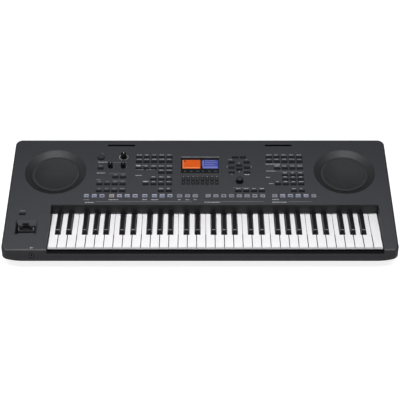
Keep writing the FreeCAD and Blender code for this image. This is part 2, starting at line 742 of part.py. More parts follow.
SOFT_ROWS = {
    "display_buttons_upper": [("soft_block_x", "line_soft_upper", 8, 1)],
    "display_buttons_lower": [("soft_block_x", "line_soft_lower", 8, 1)],
}


def row_of(name, row, pitch, layers):
    """A row of equal blocks: each layer is (width, length, low, high) about the row's line."""
    first_x, line, count, stride = row
    body = doc.addObject("PartDesign::Body", name)
    features = []
    for i, (width, length, low, high) in enumerate(layers):
        sketch = new_sketch(body, "%s_sketch_%d" % (name, i), "XY_Plane")
        half = FreeCAD.Vector(number(width) / 2, number(length) / 2)
        corners = [(-1, -1), (1, -1), (1, 1), (-1, 1)]
        spots = [FreeCAD.Vector(across * half.x, along * half.y) for across, along in corners]
        for k, spot in enumerate(spots):
            sketch.addGeometry(Part.LineSegment(spot, spots[(k + 1) % len(spots)]), False)
        for k in range(len(spots)):
            sketch.addConstraint(Sketcher.Constraint("Coincident", k, 2, (k + 1) % len(spots), 1))
            sketch.addConstraint(Sketcher.Constraint(("Horizontal", "Vertical")[k % 2], k))
        sketch.addConstraint(Sketcher.Constraint("Symmetric", 0, 1, 1, 2, -1, 1))
        constrain(sketch, width, "DistanceX", 0, 1, 0, 2)
        constrain(sketch, length, "DistanceY", 1, 1, 1, 2)
        for axis, text in zip("xyz", (first_x, line, low)):
            sketch.setExpression("AttachmentOffset.Base." + axis, linked(text))
        features.append(pad(body, "%s_pad_%d" % (name, i), sketch, "%s - (%s)" % (high, low)))
    if count > 1:
        doc.recompute()
        pattern = body.newObject("PartDesign::LinearPattern", name + "_pattern")
        pattern.Originals = features
        pattern.Direction = (features[0].Profile[0], ["H_Axis"])
        bind(pattern, "Length", "%d * %s" % ((count - 1) * stride, pitch))
        pattern.Occurrences = count
        body.Tip = pattern
    return body


# Holes and switches by the line that their places are counted from: the field's or the crease
hole_rows = {FIELD_Y: [], CREASE_Y: []}
switch_rows = {FIELD_Y: [], CREASE_Y: []}
FLANGE_LOW = "-(cap_depth + flange_thickness)"
SWITCH_TOP = "(%s - button_travel - switch_gap)" % FLANGE_LOW
CAP_KINDS = [
    (BUTTON_ROWS, "button_pitch", lambda label: BUTTON),
    (PAD_ROWS, "button_pitch", lambda label: PAD),
    (SOFT_ROWS, "soft_pitch", lambda label: SOFT_UPPER if label.endswith("upper") else SOFT_LOWER),
]
for rows, pitch, cap_of in CAP_KINDS:
    for label, places in rows.items():
        first_line = CREASE_Y if label == "cheek_button" else FIELD_Y
        width, length, rise = cap_of(label)
        caps = []
        for i, row in enumerate(places):
            name = "%s_%d" % (label, i)
            caps.append(row_of(name, row, pitch, [
                (width, length, "-cap_depth", rise),
                (width + " + 2 * flange_margin", length + " + 2 * flange_margin", FLANGE_LOW, "-cap_depth"),
            ]))
            hole_rows[first_line].append(row_of(name + "_hole", row, pitch, [
                (width + " + 2 * cap_clearance", length + " + 2 * cap_clearance", "-overrun", "overrun"),
            ]))
            switch_rows[first_line].append(row_of(name + "_switch", row, pitch, [
                ("switch_width", "switch_width", "-panel_board_drop", SWITCH_TOP),
            ]))
        node(label, on_panel(label + "_node", caps, first_line))

power_at = ("power_x", "line_first")
power = fuse("power", [
    rod("power_cap", "power_radius", "power_rise + cap_depth", power_at + ("-cap_depth",)),
    rod("power_flange", "power_radius + flange_margin", "flange_thickness", power_at + (FLANGE_LOW,)),
])
node("power_button", on_panel("power_node", [power]))
hole_rows[FIELD_Y].append(rod("power_hole", "power_radius + cap_clearance", "2 * overrun",
                              power_at + ("-overrun",)))
switch_rows[FIELD_Y].append(box("power_switch", (
    "switch_width", "switch_width", "panel_board_drop + " + SWITCH_TOP,
), ("power_x - switch_width / 2", "line_first - switch_width / 2", "-panel_board_drop")))
node("panel_switches", group("switches_node", [
    on_panel("field_switches", switch_rows[FIELD_Y]),
    on_panel("cheek_switches", switch_rows[CREASE_Y], CREASE_Y),
]))

# Switch boards under the panel, each on four spacers that reach the panel


def switch_board(name, low_x, width, low_line, high_line):
    """A board and its spacers."""
    board = box(name, (width, "%s - (%s)" % (high_line, low_line), "board_thickness"),
                (low_x, low_line, "-(panel_board_drop + board_thickness)"))
    corners = [
        (across, along)
        for across in ("%s + spacer_inset" % low_x, "%s + %s - spacer_inset" % (low_x, width))
        for along in ("%s + spacer_inset" % low_line, "%s - spacer_inset" % high_line)
    ]
    return [board] + [
        rod("%s_spacer_%d" % (name, i), "spacer_radius", "panel_board_drop - panel_wall",
            corner + ("-panel_board_drop",))
        for i, corner in enumerate(corners)
    ]


field_boards = (
    switch_board("left_board", "left_board_x", "left_board_width", "board_line_low", "board_line_high")
    + switch_board("middle_board", "middle_board_x", "middle_board_width", "board_line_low",
                   "middle_board_high")
    + switch_board("right_board", "right_board_x", "right_board_width", "board_line_low", "board_line_high")
)
cheek_board = switch_board("cheek_board", "(cheek_button_x - cheek_board_width / 2)", "cheek_board_width",
                           "(cheek_button_line - cheek_board_length / 2)",
                           "(cheek_button_line + cheek_board_length / 2)")
node("panel_boards", group("boards_node", [
    on_panel("field_boards", field_boards), on_panel("cheek_boards", cheek_board, CREASE_Y),
]))

# Knobs and their potentiometers

KNOBS = {
    "volume_knob": ("knob_x", "knob_line", "volume_radius", "knob_height"),
    "left_control_knob": ("left_knob_x", "live_line", "live_radius", "knob_height"),
    "right_control_knob": ("knob_x", "live_line", "live_radius", "knob_height"),
    "data_dial": ("dial_x", "dial_line", "dial_radius", "dial_height"),
}
pots = []
for label, (at_x, line, radius, height) in KNOBS.items():
    spot = (at_x, line)
    shaft_depth = "(panel_board_drop - board_thickness)"
    knob = fuse(label + "_solid", [
        frustum(label + "_grip", radius, "%s - knob_skirt / 2" % radius, height, spot + ("knob_lift",)),
        rod(label + "_shaft", "shaft_radius", shaft_depth + " + knob_lift + shaft_radius",
            spot + ("-" + shaft_depth,)),
    ])
    node(label, on_panel(label + "_node", [knob]))
    hole_rows[FIELD_Y].append(rod(label + "_hole", "shaft_radius + shaft_hole_clearance", "2 * overrun",
                                  spot + ("-overrun",)))
    pots.append(cut(label + "_pot", box(label + "_can", (
        "pot_width", "pot_width", "panel_board_drop - panel_wall",
    ), ("%s - pot_width / 2" % at_x, "%s - pot_width / 2" % line, "-panel_board_drop")), [
        rod(label + "_bush", "shaft_radius + shaft_clearance", "2 * overrun", spot + ("-" + shaft_depth,)),
    ]))
node("control_pots", on_panel("pots_node", pots))

# Display

WINDOW_LOW = ("-window_width / 2", "window_line - window_length / 2")
node("display_window", on_panel("window_node", [
    box("window", ("window_width", "window_length", "window_thickness"), WINDOW_LOW + ("-panel_wall",)),
]))
node("display_module", on_panel("module_node", [
    box("module", ("window_width + 2 * module_margin", "window_length + 2 * module_margin",
                   "module_thickness"),
        (WINDOW_LOW[0] + " - module_margin", WINDOW_LOW[1] + " - module_margin",
         "-(panel_wall + module_thickness)")),
]))
hole_rows[FIELD_Y].append(box("window_hole", (
    "window_width + 2 * window_margin", "window_length + 2 * window_margin", "2 * overrun",
), (WINDOW_LOW[0] + " - window_margin", WINDOW_LOW[1] + " - window_margin", "-overrun")))

# Joystick: a drum that rocks front to back carries a lever that rocks side to side


def about_stick(width, length):
    """Low corner, on the panel, of a rectangle round the joystick."""
    return "stick_x - (%s) / 2" % width, "stick_line - (%s) / 2" % length


HOUSING = ("well_width + 2 * well_wall", "well_length + 2 * well_wall")
DRUM_SLOT = ("drum_length + 2 * drum_clearance", "2 * (drum_radius + drum_clearance)")
well = wedge("well", "stick_x",
             ("well_floor_width", "stick_line - well_floor_length / 2", "stick_line + well_floor_length / 2"),
             ("well_width", "stick_line - well_length / 2", "stick_line + well_length / 2"),
             "-well_depth", "0")
PIN_SPAN = "(drum_length + 2 * drum_pin_length)"
housing = cut("housing", box("housing_block", HOUSING + ("housing_depth",),
                             about_stick(*HOUSING) + ("-housing_depth",)), [
    well,
    box("drum_room", DRUM_SLOT + ("housing_depth + overrun",),
        about_stick(*DRUM_SLOT) + ("-(housing_depth + overrun / 2)",)),
    rod("drum_pin_room", "drum_pin_radius + pin_clearance", PIN_SPAN + " + 2 * seat_gap",
        ("stick_x - %s / 2 - seat_gap" % PIN_SPAN, "stick_line", "-drum_drop"), RIGHT),
])
node("joystick_housing", on_panel("housing_node", [housing], CREASE_Y))
HOUSING_ROOM = [text + " + 2 * seat_gap" for text in HOUSING]
hole_rows[CREASE_Y].append(box("housing_hole", (*HOUSING_ROOM, "2 * overrun"),
                               about_stick(*HOUSING_ROOM) + ("-overrun",)))
STICK_SLOT = ("stick_slot_width", "stick_slot_length")
drum = cut("drum", fuse("drum_solid", [
    rod("drum_barrel", "drum_radius", "drum_length",
        ("stick_x - drum_length / 2", "stick_line", "-drum_drop"), RIGHT),
    rod("drum_pins", "drum_pin_radius", PIN_SPAN,
        ("stick_x - %s / 2" % PIN_SPAN, "stick_line", "-drum_drop"), RIGHT),
]), [
    box("stick_room", STICK_SLOT + ("4 * drum_radius",),
        about_stick(*STICK_SLOT) + ("-drum_drop - 2 * drum_radius",)),
    rod("stick_pin_room", "stick_pin_radius + pin_clearance", "stick_pin_length + 2 * seat_gap",
        ("stick_x", "stick_line - stick_pin_length / 2 - seat_gap", "-drum_drop"), BACK),
])
node("joystick_drum", on_panel("drum_node", [drum], CREASE_Y))
STICK_BLADE = ("stick_width", "stick_thickness")
STICK_HEAD = ("stick_head_width", "stick_thickness")
stick = fuse("stick", [
    box("stick_blade", STICK_BLADE + ("stick_height + stick_tail",),
        about_stick(*STICK_BLADE) + ("-(drum_drop + stick_tail)",)),
    box("stick_head", STICK_HEAD + ("stick_head_height",),
        about_stick(*STICK_HEAD) + ("stick_height - drum_drop - stick_head_height",)),
    rod("stick_pin", "stick_pin_radius", "stick_pin_length",
        ("stick_x", "stick_line - stick_pin_length / 2", "-drum_drop"), BACK),
])
node("joystick_lever", on_panel("stick_node", [stick], CREASE_Y))

# Sockets: drawn with the mouth upwards, then turned to face out of the case


def facing_back(name, piece, at_x, height):
    """Turn a socket to face out of the back wall."""
    turned = group(name, [piece])
    turned.Placement = FreeCAD.Placement(FreeCAD.Vector(), FreeCAD.Rotation(UP, BACK))
    return place(turned, (at_x, BACK_Y, height))


FASCIA_RISE = "(crease_height - fascia_low)"


def facing_front(name, piece):
    """Turn the headphone socket to face out of the fascia, square to its slope."""
    turned = group(name, [piece])
    turned.Placement = FreeCAD.Placement(FreeCAD.Vector(), FreeCAD.Rotation(RIGHT, 1))
    bind(turned, "Placement.Rotation.Angle", "90 deg - atan(fascia_run / %s)" % FASCIA_RISE)
    return place(turned, ("phones_x", "%s + fascia_run * (phones_height - fascia_low) / %s"
                          % (FRONT_Y, FASCIA_RISE), "phones_height"))


jack = cut("jack", fuse("jack_solid", [
    rod("jack_bush", "jack_bush_radius", "wall", ("0", "0", "-wall")),
    box("jack_body", ("jack_body_width", "jack_body_width", "jack_body_length"),
        ("-jack_body_width / 2", "-jack_body_width / 2", "-(wall + jack_body_length)")),
]), [
    rod("jack_bore", "jack_bore_radius", "jack_bore_length", ("0", "0", "-(wall + jack_bore_length)")),
    rod("jack_mouth", "jack_mouth_radius", "wall + overrun", ("0", "0", "-wall")),
])
jack_hole = rod("jack_hole", "jack_bush_radius + jack_hole_clearance", "2 * overrun", ("0", "0", "-overrun"))
JACK_COUNT = 4
JACK_PLACES = ["jack_first_x + %d * jack_pitch" % i for i in range(JACK_COUNT)]
node("rear_jacks", group("rear_jacks_node", [
    facing_back("rear_jack_%d" % i, jack, at_x, "jack_height") for i, at_x in enumerate(JACK_PLACES)
]))
node("headphone_jack", facing_front("headphone_node", jack))
case_cuts = [facing_back("rear_hole_%d" % i, jack_hole, at_x, "jack_height")
             for i, at_x in enumerate(JACK_PLACES)]
case_cuts.append(facing_front("headphone_hole", jack_hole))

JACK_BOARD_TOP = "(jack_height - jack_body_width / 2)"


def port(name, width, height, mouth, length, at_x):
    """A square-shelled socket that stands on the jack board, and its hole in the wall."""
    shell_box = box(name + "_shell", (width, length, height),
                    ("%s - %s / 2" % (at_x, width), "%s - %s" % (BACK_Y, length), JACK_BOARD_TOP))
    wider, taller = ["%s + 2 * seat_gap" % text for text in (width, height)]
    case_cuts.append(box(name + "_hole", (wider, "2 * overrun", taller), (
        "%s - %s / 2 - seat_gap" % (at_x, width), "%s - overrun" % BACK_Y, JACK_BOARD_TOP + " - seat_gap")))
    return cut(name, shell_box, mouth)


def square_mouth(name, width, height, shell_height, at_x):
    """The mouth of a USB socket."""
    return box(name, (width, "usb_mouth_depth + overrun", height), (
        "%s - %s / 2" % (at_x, width), "%s - usb_mouth_depth" % BACK_Y,
        "%s + (%s - %s) / 2" % (JACK_BOARD_TOP, shell_height, height)))


node("usb_sockets", group("usb_node", [
    port("host_socket", "usb_shell_width", "usb_shell_height", [
        square_mouth("host_mouth", "usb_mouth_width", "usb_mouth_height", "usb_shell_height", "usb_x")],
        "usb_length", "usb_x"),
    port("device_socket", "device_shell", "device_shell", [
        square_mouth("device_mouth_room", "device_mouth", "device_mouth", "device_shell", "device_x")],
        "usb_length", "device_x"),
]))
inlet_at = ("inlet_x", "%s - inlet_bore_depth" % BACK_Y, JACK_BOARD_TOP + " + inlet_width / 2")
inlet_mouth = cut("inlet_mouth", rod("inlet_bore", "inlet_bore_radius", "inlet_bore_depth + overrun",
                                     inlet_at, BACK), [
    rod("inlet_pin", "inlet_pin_radius", "inlet_bore_depth - inlet_pin_radius", inlet_at, BACK),
])
node("power_inlet", port("power_socket", "inlet_width", "inlet_width", [inlet_mouth], "inlet_length",
                         "inlet_x"))
JACK_BOARD_LEFT = "(device_x - jack_board_margin)"
JACK_BOARD_WIDTH = "(inlet_x - device_x + 2 * jack_board_margin)"
INNER_BACK = "(%s - wall)" % BACK_Y
# Upper case

key_opening = box("key_opening", (OPENING_WIDTH, "%s - %s - rail_depth" % (LIP_Y, FRONT_Y), SKY), (
    OPENING_X, "%s + rail_depth" % FRONT_Y, "part_line - overrun"))
rail_drop = box("rail_drop", (OPENING_WIDTH, "rail_depth + overrun", SKY), (
    OPENING_X, "%s - overrun" % FRONT_Y, "rail_height"))
dished = fuse("dished", [shell, on_panel("bowls", bowls)])
screw_bores = case_posts("screw_bore", "case_screw_radius + screw_clearance", "-overrun",
                         "(foot_height + case_screw_length)")
upper_case = cut("upper_case_solid", dished, [
    key_opening, rail_drop, on_panel("field_cuts", hole_rows[FIELD_Y] + dish_cuts),
    on_panel("cheek_cuts", hole_rows[CREASE_Y], CREASE_Y),
] + slots + case_cuts + screw_bores)
node("upper_case", upper_case)

# Lower case


def board_posts(name, left, width, front, depth, top):
    """Four posts under a flat board."""
    return [
        rod("%s_%d_%d" % (name, i, k), "post_radius", "%s - %s" % (top, FLOOR_HEIGHT), (
            "%s + post_radius + (%s - 2 * post_radius) * %d" % (left, width, i),
            "%s + post_radius + (%s - 2 * post_radius) * %d" % (front, depth, k), FLOOR_HEIGHT))
        for i in (0, 1) for k in (0, 1)
    ]


JACK_POST_SPAN = "(jack_board_depth - base_draw - post_radius)"
MAIN_LEFT = "(-main_board_width / 2)"
MAIN_FRONT = "(%s + frame_wall + main_board_gap)" % PIVOT_Y
MAIN_DEPTH = "(%s - main_board_back - %s)" % (BACK_Y, MAIN_FRONT)
BASE_HEIGHT = "(part_line - foot_height)"
BASE_SHARE = "((part_line - %s) / %s)" % (FLOOR_HEIGHT, BASE_HEIGHT)


def wall_run(draw):
    """How far a leaning wall reaches across at one height."""
    return "(wall * sqrt(%s * %s + %s * %s) / %s)" % (draw, draw, BASE_HEIGHT, BASE_HEIGHT, BASE_HEIGHT)


SIDE_RUN = wall_run("base_draw")
FRONT_RUN = wall_run("base_undercut")
lower_block = case_taper("lower_block", "0", ("foot_height", "base_draw", "base_undercut"),
                         ("part_line", "0", "0"))
lower_room = case_taper("lower_room", "wall", (
    FLOOR_HEIGHT, "base_draw * %s + %s" % (BASE_SHARE, SIDE_RUN),
    "base_undercut * %s + %s" % (BASE_SHARE, FRONT_RUN),
), ("part_line", SIDE_RUN, FRONT_RUN))
lower_tray = cut("lower_tray", lower_block, [
    cut("lower_cavity", lower_room, case_posts("lower_post", "boss_radius", "0", SKY)),
])
main_posts = board_posts("main_post", MAIN_LEFT, "main_board_width", MAIN_FRONT, MAIN_DEPTH,
                         "main_board_height")
lower_case = cut("lower_case_solid", fuse("lower_posts", [lower_tray] + main_posts), case_posts(
    "lower_screw_bore", "case_screw_radius + screw_clearance", "-overrun", "(part_line + overrun)"))
node("lower_case", lower_case)
JACK_BOARD_FRONT = "(%s - jack_board_depth)" % INNER_BACK
node("jack_board", group("jack_board_node", [
    box("jack_board_sheet", (JACK_BOARD_WIDTH, "jack_board_depth", "board_thickness"),
        (JACK_BOARD_LEFT, JACK_BOARD_FRONT, JACK_BOARD_TOP + " - board_thickness")),
] + board_posts("jack_post", JACK_BOARD_LEFT, JACK_BOARD_WIDTH, JACK_BOARD_FRONT, JACK_POST_SPAN,
                "(%s - board_thickness)" % JACK_BOARD_TOP)))
node("main_board", group("main_board_node", [
    box("main_sheet", ("main_board_width", MAIN_DEPTH, "board_thickness"),
        (MAIN_LEFT, MAIN_FRONT, "main_board_height")),
    box("main_chip", ("chip_width", "chip_width", "chip_height"),
        ("-chip_width / 2", "%s + %s / 2 - chip_width / 2" % (MAIN_FRONT, MAIN_DEPTH),
         "main_board_height + board_thickness")),
]))
node("case_screws", group("screws_node", [
    fuse("case_screw_%d" % i, [shank, head]) for i, (shank, head) in enumerate(zip(
        case_posts("screw_shank", "case_screw_radius", "(foot_height - case_screw_head_height)",
                   "(foot_height + case_screw_length - case_screw_head_height)"),
        case_posts("screw_head", "case_screw_head_radius", "(foot_height - case_screw_head_height)",
                   "foot_height")))
]))
node("rubber_feet", group("feet_node", [
    frustum("foot_%d" % i, "foot_radius - foot_taper", "foot_radius", "foot_height",
            ("case_width / 2 * %s" % across, "case_depth / 2 * %s" % along, "0"))
    for i, (across, along) in enumerate(FOOT_SHARES)
]))

# Speakers

FLANGE_TOP = "(%s + cone_paper)" % DISH_FLOOR
BASKET_TOP = "(%s + basket_flange_thickness)" % FLANGE_TOP
CONE_MOUTH = "(grille_radius - grille_ledge - basket_sheet)"
BASKET_MOUTH = "(%s + cone_paper + cone_gap)" % CONE_MOUTH
baskets, cones, magnets = [], [], []
for name, at_x in speaker_places():
    spot = (at_x, "speaker_line")
    node(name + "_speaker_grille", on_panel(name + "_grille_node", [
        rod(name + "_grille", "grille_radius - seat_gap", "grille_thickness", spot + ("-dish_depth",)),
    ]))
    baskets.append(cut(name + "_basket", fuse(name + "_basket_solid", [
        rod(name + "_flange", "basket_flange_radius", "basket_flange_thickness", spot + ("-" + BASKET_TOP,)),
        frustum(name + "_basket_wall", "basket_base_radius", BASKET_MOUTH + " + basket_sheet", "basket_depth",
                spot + ("-(%s + basket_depth)" % BASKET_TOP,)),
    ]), [
        frustum(name + "_basket_room", "basket_base_radius - basket_sheet", BASKET_MOUTH,
                "basket_depth - basket_sheet", spot + ("-(%s + basket_depth - basket_sheet)" % BASKET_TOP,)),
        rod(name + "_basket_throat", BASKET_MOUTH, "basket_flange_thickness + overrun",
            spot + ("-" + BASKET_TOP,)),
    ]))
    cone_low = "(basket_depth - 2 * basket_sheet)"
    cones.append(cut(name + "_cone", fuse(name + "_cone_solid", [
        rod(name + "_surround", "basket_flange_radius", "cone_paper", spot + ("-" + FLANGE_TOP,)),
        frustum(name + "_cone_wall", "basket_base_radius / 2", CONE_MOUTH + " + cone_paper",
                cone_low + " + basket_flange_thickness", spot + ("-(%s + %s)" % (BASKET_TOP, cone_low),)),
    ]), [
        frustum(name + "_cone_room", "basket_base_radius / 2 - cone_paper", CONE_MOUTH,
                cone_low + " + basket_flange_thickness",
                spot + ("-(%s + %s - cone_paper)" % (BASKET_TOP, cone_low),)),
    ]))
    magnets.append(rod(name + "_magnet", "magnet_radius", "magnet_height",
                       spot + ("-(%s + basket_depth + magnet_height)" % BASKET_TOP,)))
node("speaker_baskets", on_panel("baskets_node", baskets))
node("speaker_cones", on_panel("cones_node", cones))
node("speaker_magnets", on_panel("magnets_node", magnets))

# Keys

KEY_TOP = "key_top_height"
KEY_LOW = "(key_top_height - key_body_height)"
TAIL_END = "(%s - neck_length)" % PIVOT_Y


def hollow_block(name, low_x, width, low_y, high_y):
    """A key block and the room inside it, open underneath."""
    outer = box(name, (width, "%s - %s" % (high_y, low_y), "key_body_height"), (low_x, low_y, KEY_LOW))
    room = box(name + "_room", (
        "%s - 2 * key_skin" % width, "%s - %s - 2 * key_skin" % (high_y, low_y),
        "key_body_height - key_skin + overrun",
    ), ("%s + key_skin" % low_x, "%s + key_skin" % low_y, "%s - overrun" % KEY_LOW))
    return outer, room


def pivot(name, low_x, width):
    """The neck and round nose at a key's back end."""
    inner_x = "%s + neck_inset" % low_x
    inner_width = "%s - 2 * neck_inset" % width
    return [
        box(name + "_neck", (inner_width, "neck_length + key_skin / 2", "neck_thickness"),
            (inner_x, "%s - key_skin / 2" % TAIL_END, "pivot_height - neck_thickness / 2")),
        rod(name + "_nose", "nose_radius", inner_width, (inner_x, PIVOT_Y, "pivot_height"), RIGHT),
    ]


def white_key(name, index, tail_low, tail_high, low_margin, high_margin):
    """A white key: head, tail beside the black keys, front lip and pivot."""
    head_x = "(%s + %d * white_pitch + white_gap / 2)" % (KEY_LEFT_X, index)
    head_width = "(white_pitch - white_gap)"
    tail_x = "(%s + %s + %s / 2)" % (KEY_LEFT_X, tail_low, low_margin)
    tail_width = "(%s - %s - %s / 2 - %s / 2)" % (tail_high, tail_low, low_margin, high_margin)
    head, head_room = hollow_block(name + "_head", head_x, head_width, KEY_FRONT_Y,
                                   "(%s + white_head_length)" % KEY_FRONT_Y)
    tail, tail_room = hollow_block(name + "_tail", tail_x, tail_width, KEY_FRONT_Y, TAIL_END)
    under_lip = box(name + "_under_lip", (
        "white_pitch", "lip_overhang + overrun", "key_body_height + overrun",
    ), ("%s - white_gap / 2" % head_x, "%s - overrun" % KEY_FRONT_Y,
        KEY_TOP + " - lip_thickness - key_body_height - overrun"))
    return cut(name, fuse(name + "_solid", [head, tail] + pivot(name, tail_x, tail_width)),
               [head_room, tail_room, under_lip])


def black_key(name, middle):
    """A black key: tapered top over a hollow body that runs back to its pivot."""
    middle_x = "(%s + %s)" % (KEY_LEFT_X, middle)
    low_x = "(%s - black_width / 2)" % middle_x
    foot_y = "(%s + black_foot_setback)" % KEY_FRONT_Y
    end_y = "(%s - black_end_gap)" % LIP_Y
    body, room = hollow_block(name + "_body", low_x, "black_width", foot_y, TAIL_END)
    top = wedge(name + "_top", middle_x, ("black_width", foot_y, end_y),
                ("black_top_width", foot_y + " + black_front_slope", end_y),
                KEY_TOP, KEY_TOP + " + black_height")
    return cut(name, fuse(name + "_solid", [body, top] + pivot(name, low_x, "black_width")), [room])


# Notes: white index or none, then the tail's place in the octave
BLACK_TAIL = "(black_width + tail_clearance)"
CDE_TAIL = "(white_pitch - 2 * %s / 3)" % BLACK_TAIL
FGAB_TAIL = "(white_pitch - 3 * %s / 4)" % BLACK_TAIL
NOTES = [
    ("c", 0, 0), ("c_sharp", None, 1), ("d", 1, 2), ("d_sharp", None, 3), ("e", 2, 4),
    ("f", 3, 5), ("f_sharp", None, 6), ("g", 4, 7), ("g_sharp", None, 8), ("a", 5, 9), ("a_sharp", None, 10),
    ("b", 6, 11),
]
CDE_COUNT = 5


def tail_edge(semitone):
    """Where a tail starts, from the left of the octave: white and black tails take turns in each group."""
    start, first, white_tail = "0", 0, CDE_TAIL
    if semitone > CDE_COUNT:
        start, first, white_tail = "3 * white_pitch", CDE_COUNT, FGAB_TAIL
    passed = semitone - first
    return "(%s + %d * %s + %d * %s)" % (start, (passed + 1) // 2, white_tail, passed // 2, BLACK_TAIL)


for note, white_index, semitone in NOTES:
    low, high = tail_edge(semitone), tail_edge(semitone + 1)
    if white_index is None:
        key = black_key("key_" + note, "(%s + %s) / 2" % (low, high))
    else:
        margins = ["white_gap" if at_edge else "tail_clearance"
                   for at_edge in (note in ("c", "f"), note in ("e", "b"))]
        key = white_key("key_" + note, white_index, low, high, *margins)
    copies = [
        place(group("key_%s_octave_%d" % (note, octave), [key]),
              ("%d * white_pitch" % (octave * OCTAVE_WHITES), "0", "0"))
        for octave in range(OCTAVE_COUNT)
    ]
    node("keys_" + note, group("keys_%s_node" % note, copies))
node("key_top_c", white_key("key_last", WHITE_COUNT - 1, "(%d * white_pitch)" % (WHITE_COUNT - 1),
                            KEY_SPAN, "white_gap", "white_gap"))

# Fallboard, key slip and key bed

FALL_LOW = "(key_top_height + fallboard_clear)"
node("fallboard", fuse("fallboard_solid", [
    box("fallboard_wall", (OPENING_WIDTH, "fallboard_thickness", "%s - %s - %s" % (
        panel_height(LIP_Y), PANEL_DROP, FALL_LOW)), (OPENING_X, LIP_Y, FALL_LOW)),
    box("fallboard_foot", (OPENING_WIDTH, "fallboard_ledge", "fallboard_thickness"),
        (OPENING_X, LIP_Y, FALL_LOW)),
]))
SLIP_BACK = "(%s - slip_gap)" % KEY_FRONT_Y
RAIL_BACK = "(%s + rail_depth)" % FRONT_Y
node("key_slip", fuse("slip_solid", [
    box("slip_wall", (OPENING_WIDTH, "slip_thickness", "slip_top_height - slip_ledge_height"),
        (OPENING_X, "%s - slip_thickness" % SLIP_BACK, "slip_ledge_height")),
    box("slip_ledge", (OPENING_WIDTH, "%s - %s" % (SLIP_BACK, RAIL_BACK), "slip_ledge_thickness"),
        (OPENING_X, RAIL_BACK, "slip_ledge_height")),
]))
FRAME_Y = "(%s + frame_front_setback)" % FRONT_Y
GROOVE_RADIUS = "(nose_radius + pivot_clearance)"
RAIL_LOW = "(pivot_height - %s - pivot_rail_wall)" % GROOVE_RADIUS
RAIL_FRONT = "(%s - %s - pivot_rail_wall / 2)" % (PIVOT_Y, GROOVE_RADIUS)
RAIL_SPAN = "(2 * %s + 1.5 * pivot_rail_wall)" % GROOVE_RADIUS
node("key_pivot_rail", cut("pivot_rail", box("pivot_bar", (KEY_SPAN, RAIL_SPAN, RAIL_SPAN),
                                             (KEY_LEFT_X, RAIL_FRONT, RAIL_LOW)), [
    rod("pivot_groove", GROOVE_RADIUS, KEY_SPAN + " + 2 * overrun",
        (KEY_LEFT_X + " - overrun", PIVOT_Y, "pivot_height"), RIGHT),
    box("pivot_mouth", (KEY_SPAN + " + 2 * overrun", "%s - %s + overrun" % (PIVOT_Y, RAIL_FRONT),
                        "pivot_slot_height"),
        (KEY_LEFT_X + " - overrun", RAIL_FRONT + " - overrun", "pivot_height - pivot_slot_height / 2")),
]))
STROKE_AT_FELT = "(key_dip * (%s - %s) / (%s - %s))" % (PIVOT_Y, FRAME_Y, PIVOT_Y, KEY_FRONT_Y)
FELT_TOP = "(%s - %s - felt_gap)" % (KEY_LOW, STROKE_AT_FELT)
CONTACT_Y = "(%s - contact_to_pivot)" % PIVOT_Y


def frame_wall(name, at_y, top):
    """A wall across the key frame."""
    return box(name, (KEY_SPAN, "frame_wall", "%s - %s" % (top, FLOOR_HEIGHT)),
               (KEY_LEFT_X, at_y, FLOOR_HEIGHT))


node("key_frame", fuse("key_frame_solid", [
    box("frame_base", (KEY_SPAN, "%s - %s + frame_wall" % (PIVOT_Y, FRAME_Y), "frame_sheet"),
        (KEY_LEFT_X, FRAME_Y, FLOOR_HEIGHT)),
    frame_wall("frame_front", FRAME_Y, "(%s - felt_thickness)" % FELT_TOP),
    frame_wall("frame_middle_front", CONTACT_Y, "contact_board_height"),
    frame_wall("frame_middle_back", "(%s + contact_board_depth - frame_wall)" % CONTACT_Y,
               "contact_board_height"),
    frame_wall("frame_back", "(%s - frame_wall / 2)" % PIVOT_Y, RAIL_LOW),
]))
node("key_stop_felts", group("felts_node", [
    box("lower_felt", (KEY_SPAN, "felt_width", "felt_thickness"),
        (KEY_LEFT_X, FRAME_Y, "%s - felt_thickness" % FELT_TOP)),
    box("upper_felt", (KEY_SPAN, "felt_width", "fallboard_clear - felt_gap"),
        (KEY_LEFT_X, "%s + upper_felt_setback" % LIP_Y, "key_top_height + felt_gap")),
]))
node("key_contact_board", box("contact_board", (KEY_SPAN, "contact_board_depth", "board_thickness"),
                              (KEY_LEFT_X, CONTACT_Y, "contact_board_height")))
dome = frustum("dome", "dome_radius", "dome_radius / 2", "dome_height", (
    KEY_LEFT_X, "%s + contact_board_depth / 2" % CONTACT_Y, "contact_board_height + board_thickness"))
DOME_PLACES = [
    "%d * white_pitch + (%s + %s) / 2"
    % (octave * OCTAVE_WHITES, tail_edge(semitone), tail_edge(semitone + 1))
    for octave in range(OCTAVE_COUNT) for semitone in range(len(NOTES))
] + ["%d * white_pitch + white_pitch / 2" % (WHITE_COUNT - 1)]
node("key_contact_domes", group("domes_node", [
    place(group("dome_%d" % i, [dome]), (at_x, "0", "0")) for i, at_x in enumerate(DOME_PLACES)
]))

# Check every object, then write each node

doc.recompute()
for thing in doc.Objects:
    if "Invalid" in thing.State or "Error" in thing.State:
        raise RuntimeError("%s failed: %s" % (thing.Label, thing.State))
os.makedirs("parts", exist_ok=True)
for thing in NODES:
    if thing.Shape.isNull() or not thing.Shape.isValid():
        raise RuntimeError("%s has no valid shape" % thing.Label)
    thing.Shape.exportStep("parts/%s.step" % thing.Label)
print("%d nodes written" % len(NODES))
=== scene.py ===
"""Looks of an arranger keyboard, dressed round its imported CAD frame.

Everything is in metres in the frame's axes: X to the player's right, Y to the back, Z up.
"""

import itertools
import json
import logging
import math
import random
from collections.abc import Callable, Iterable
from dataclasses import dataclass, field, replace
from enum import Enum

import bmesh
import bpy
from mathutils import Matrix, Vector


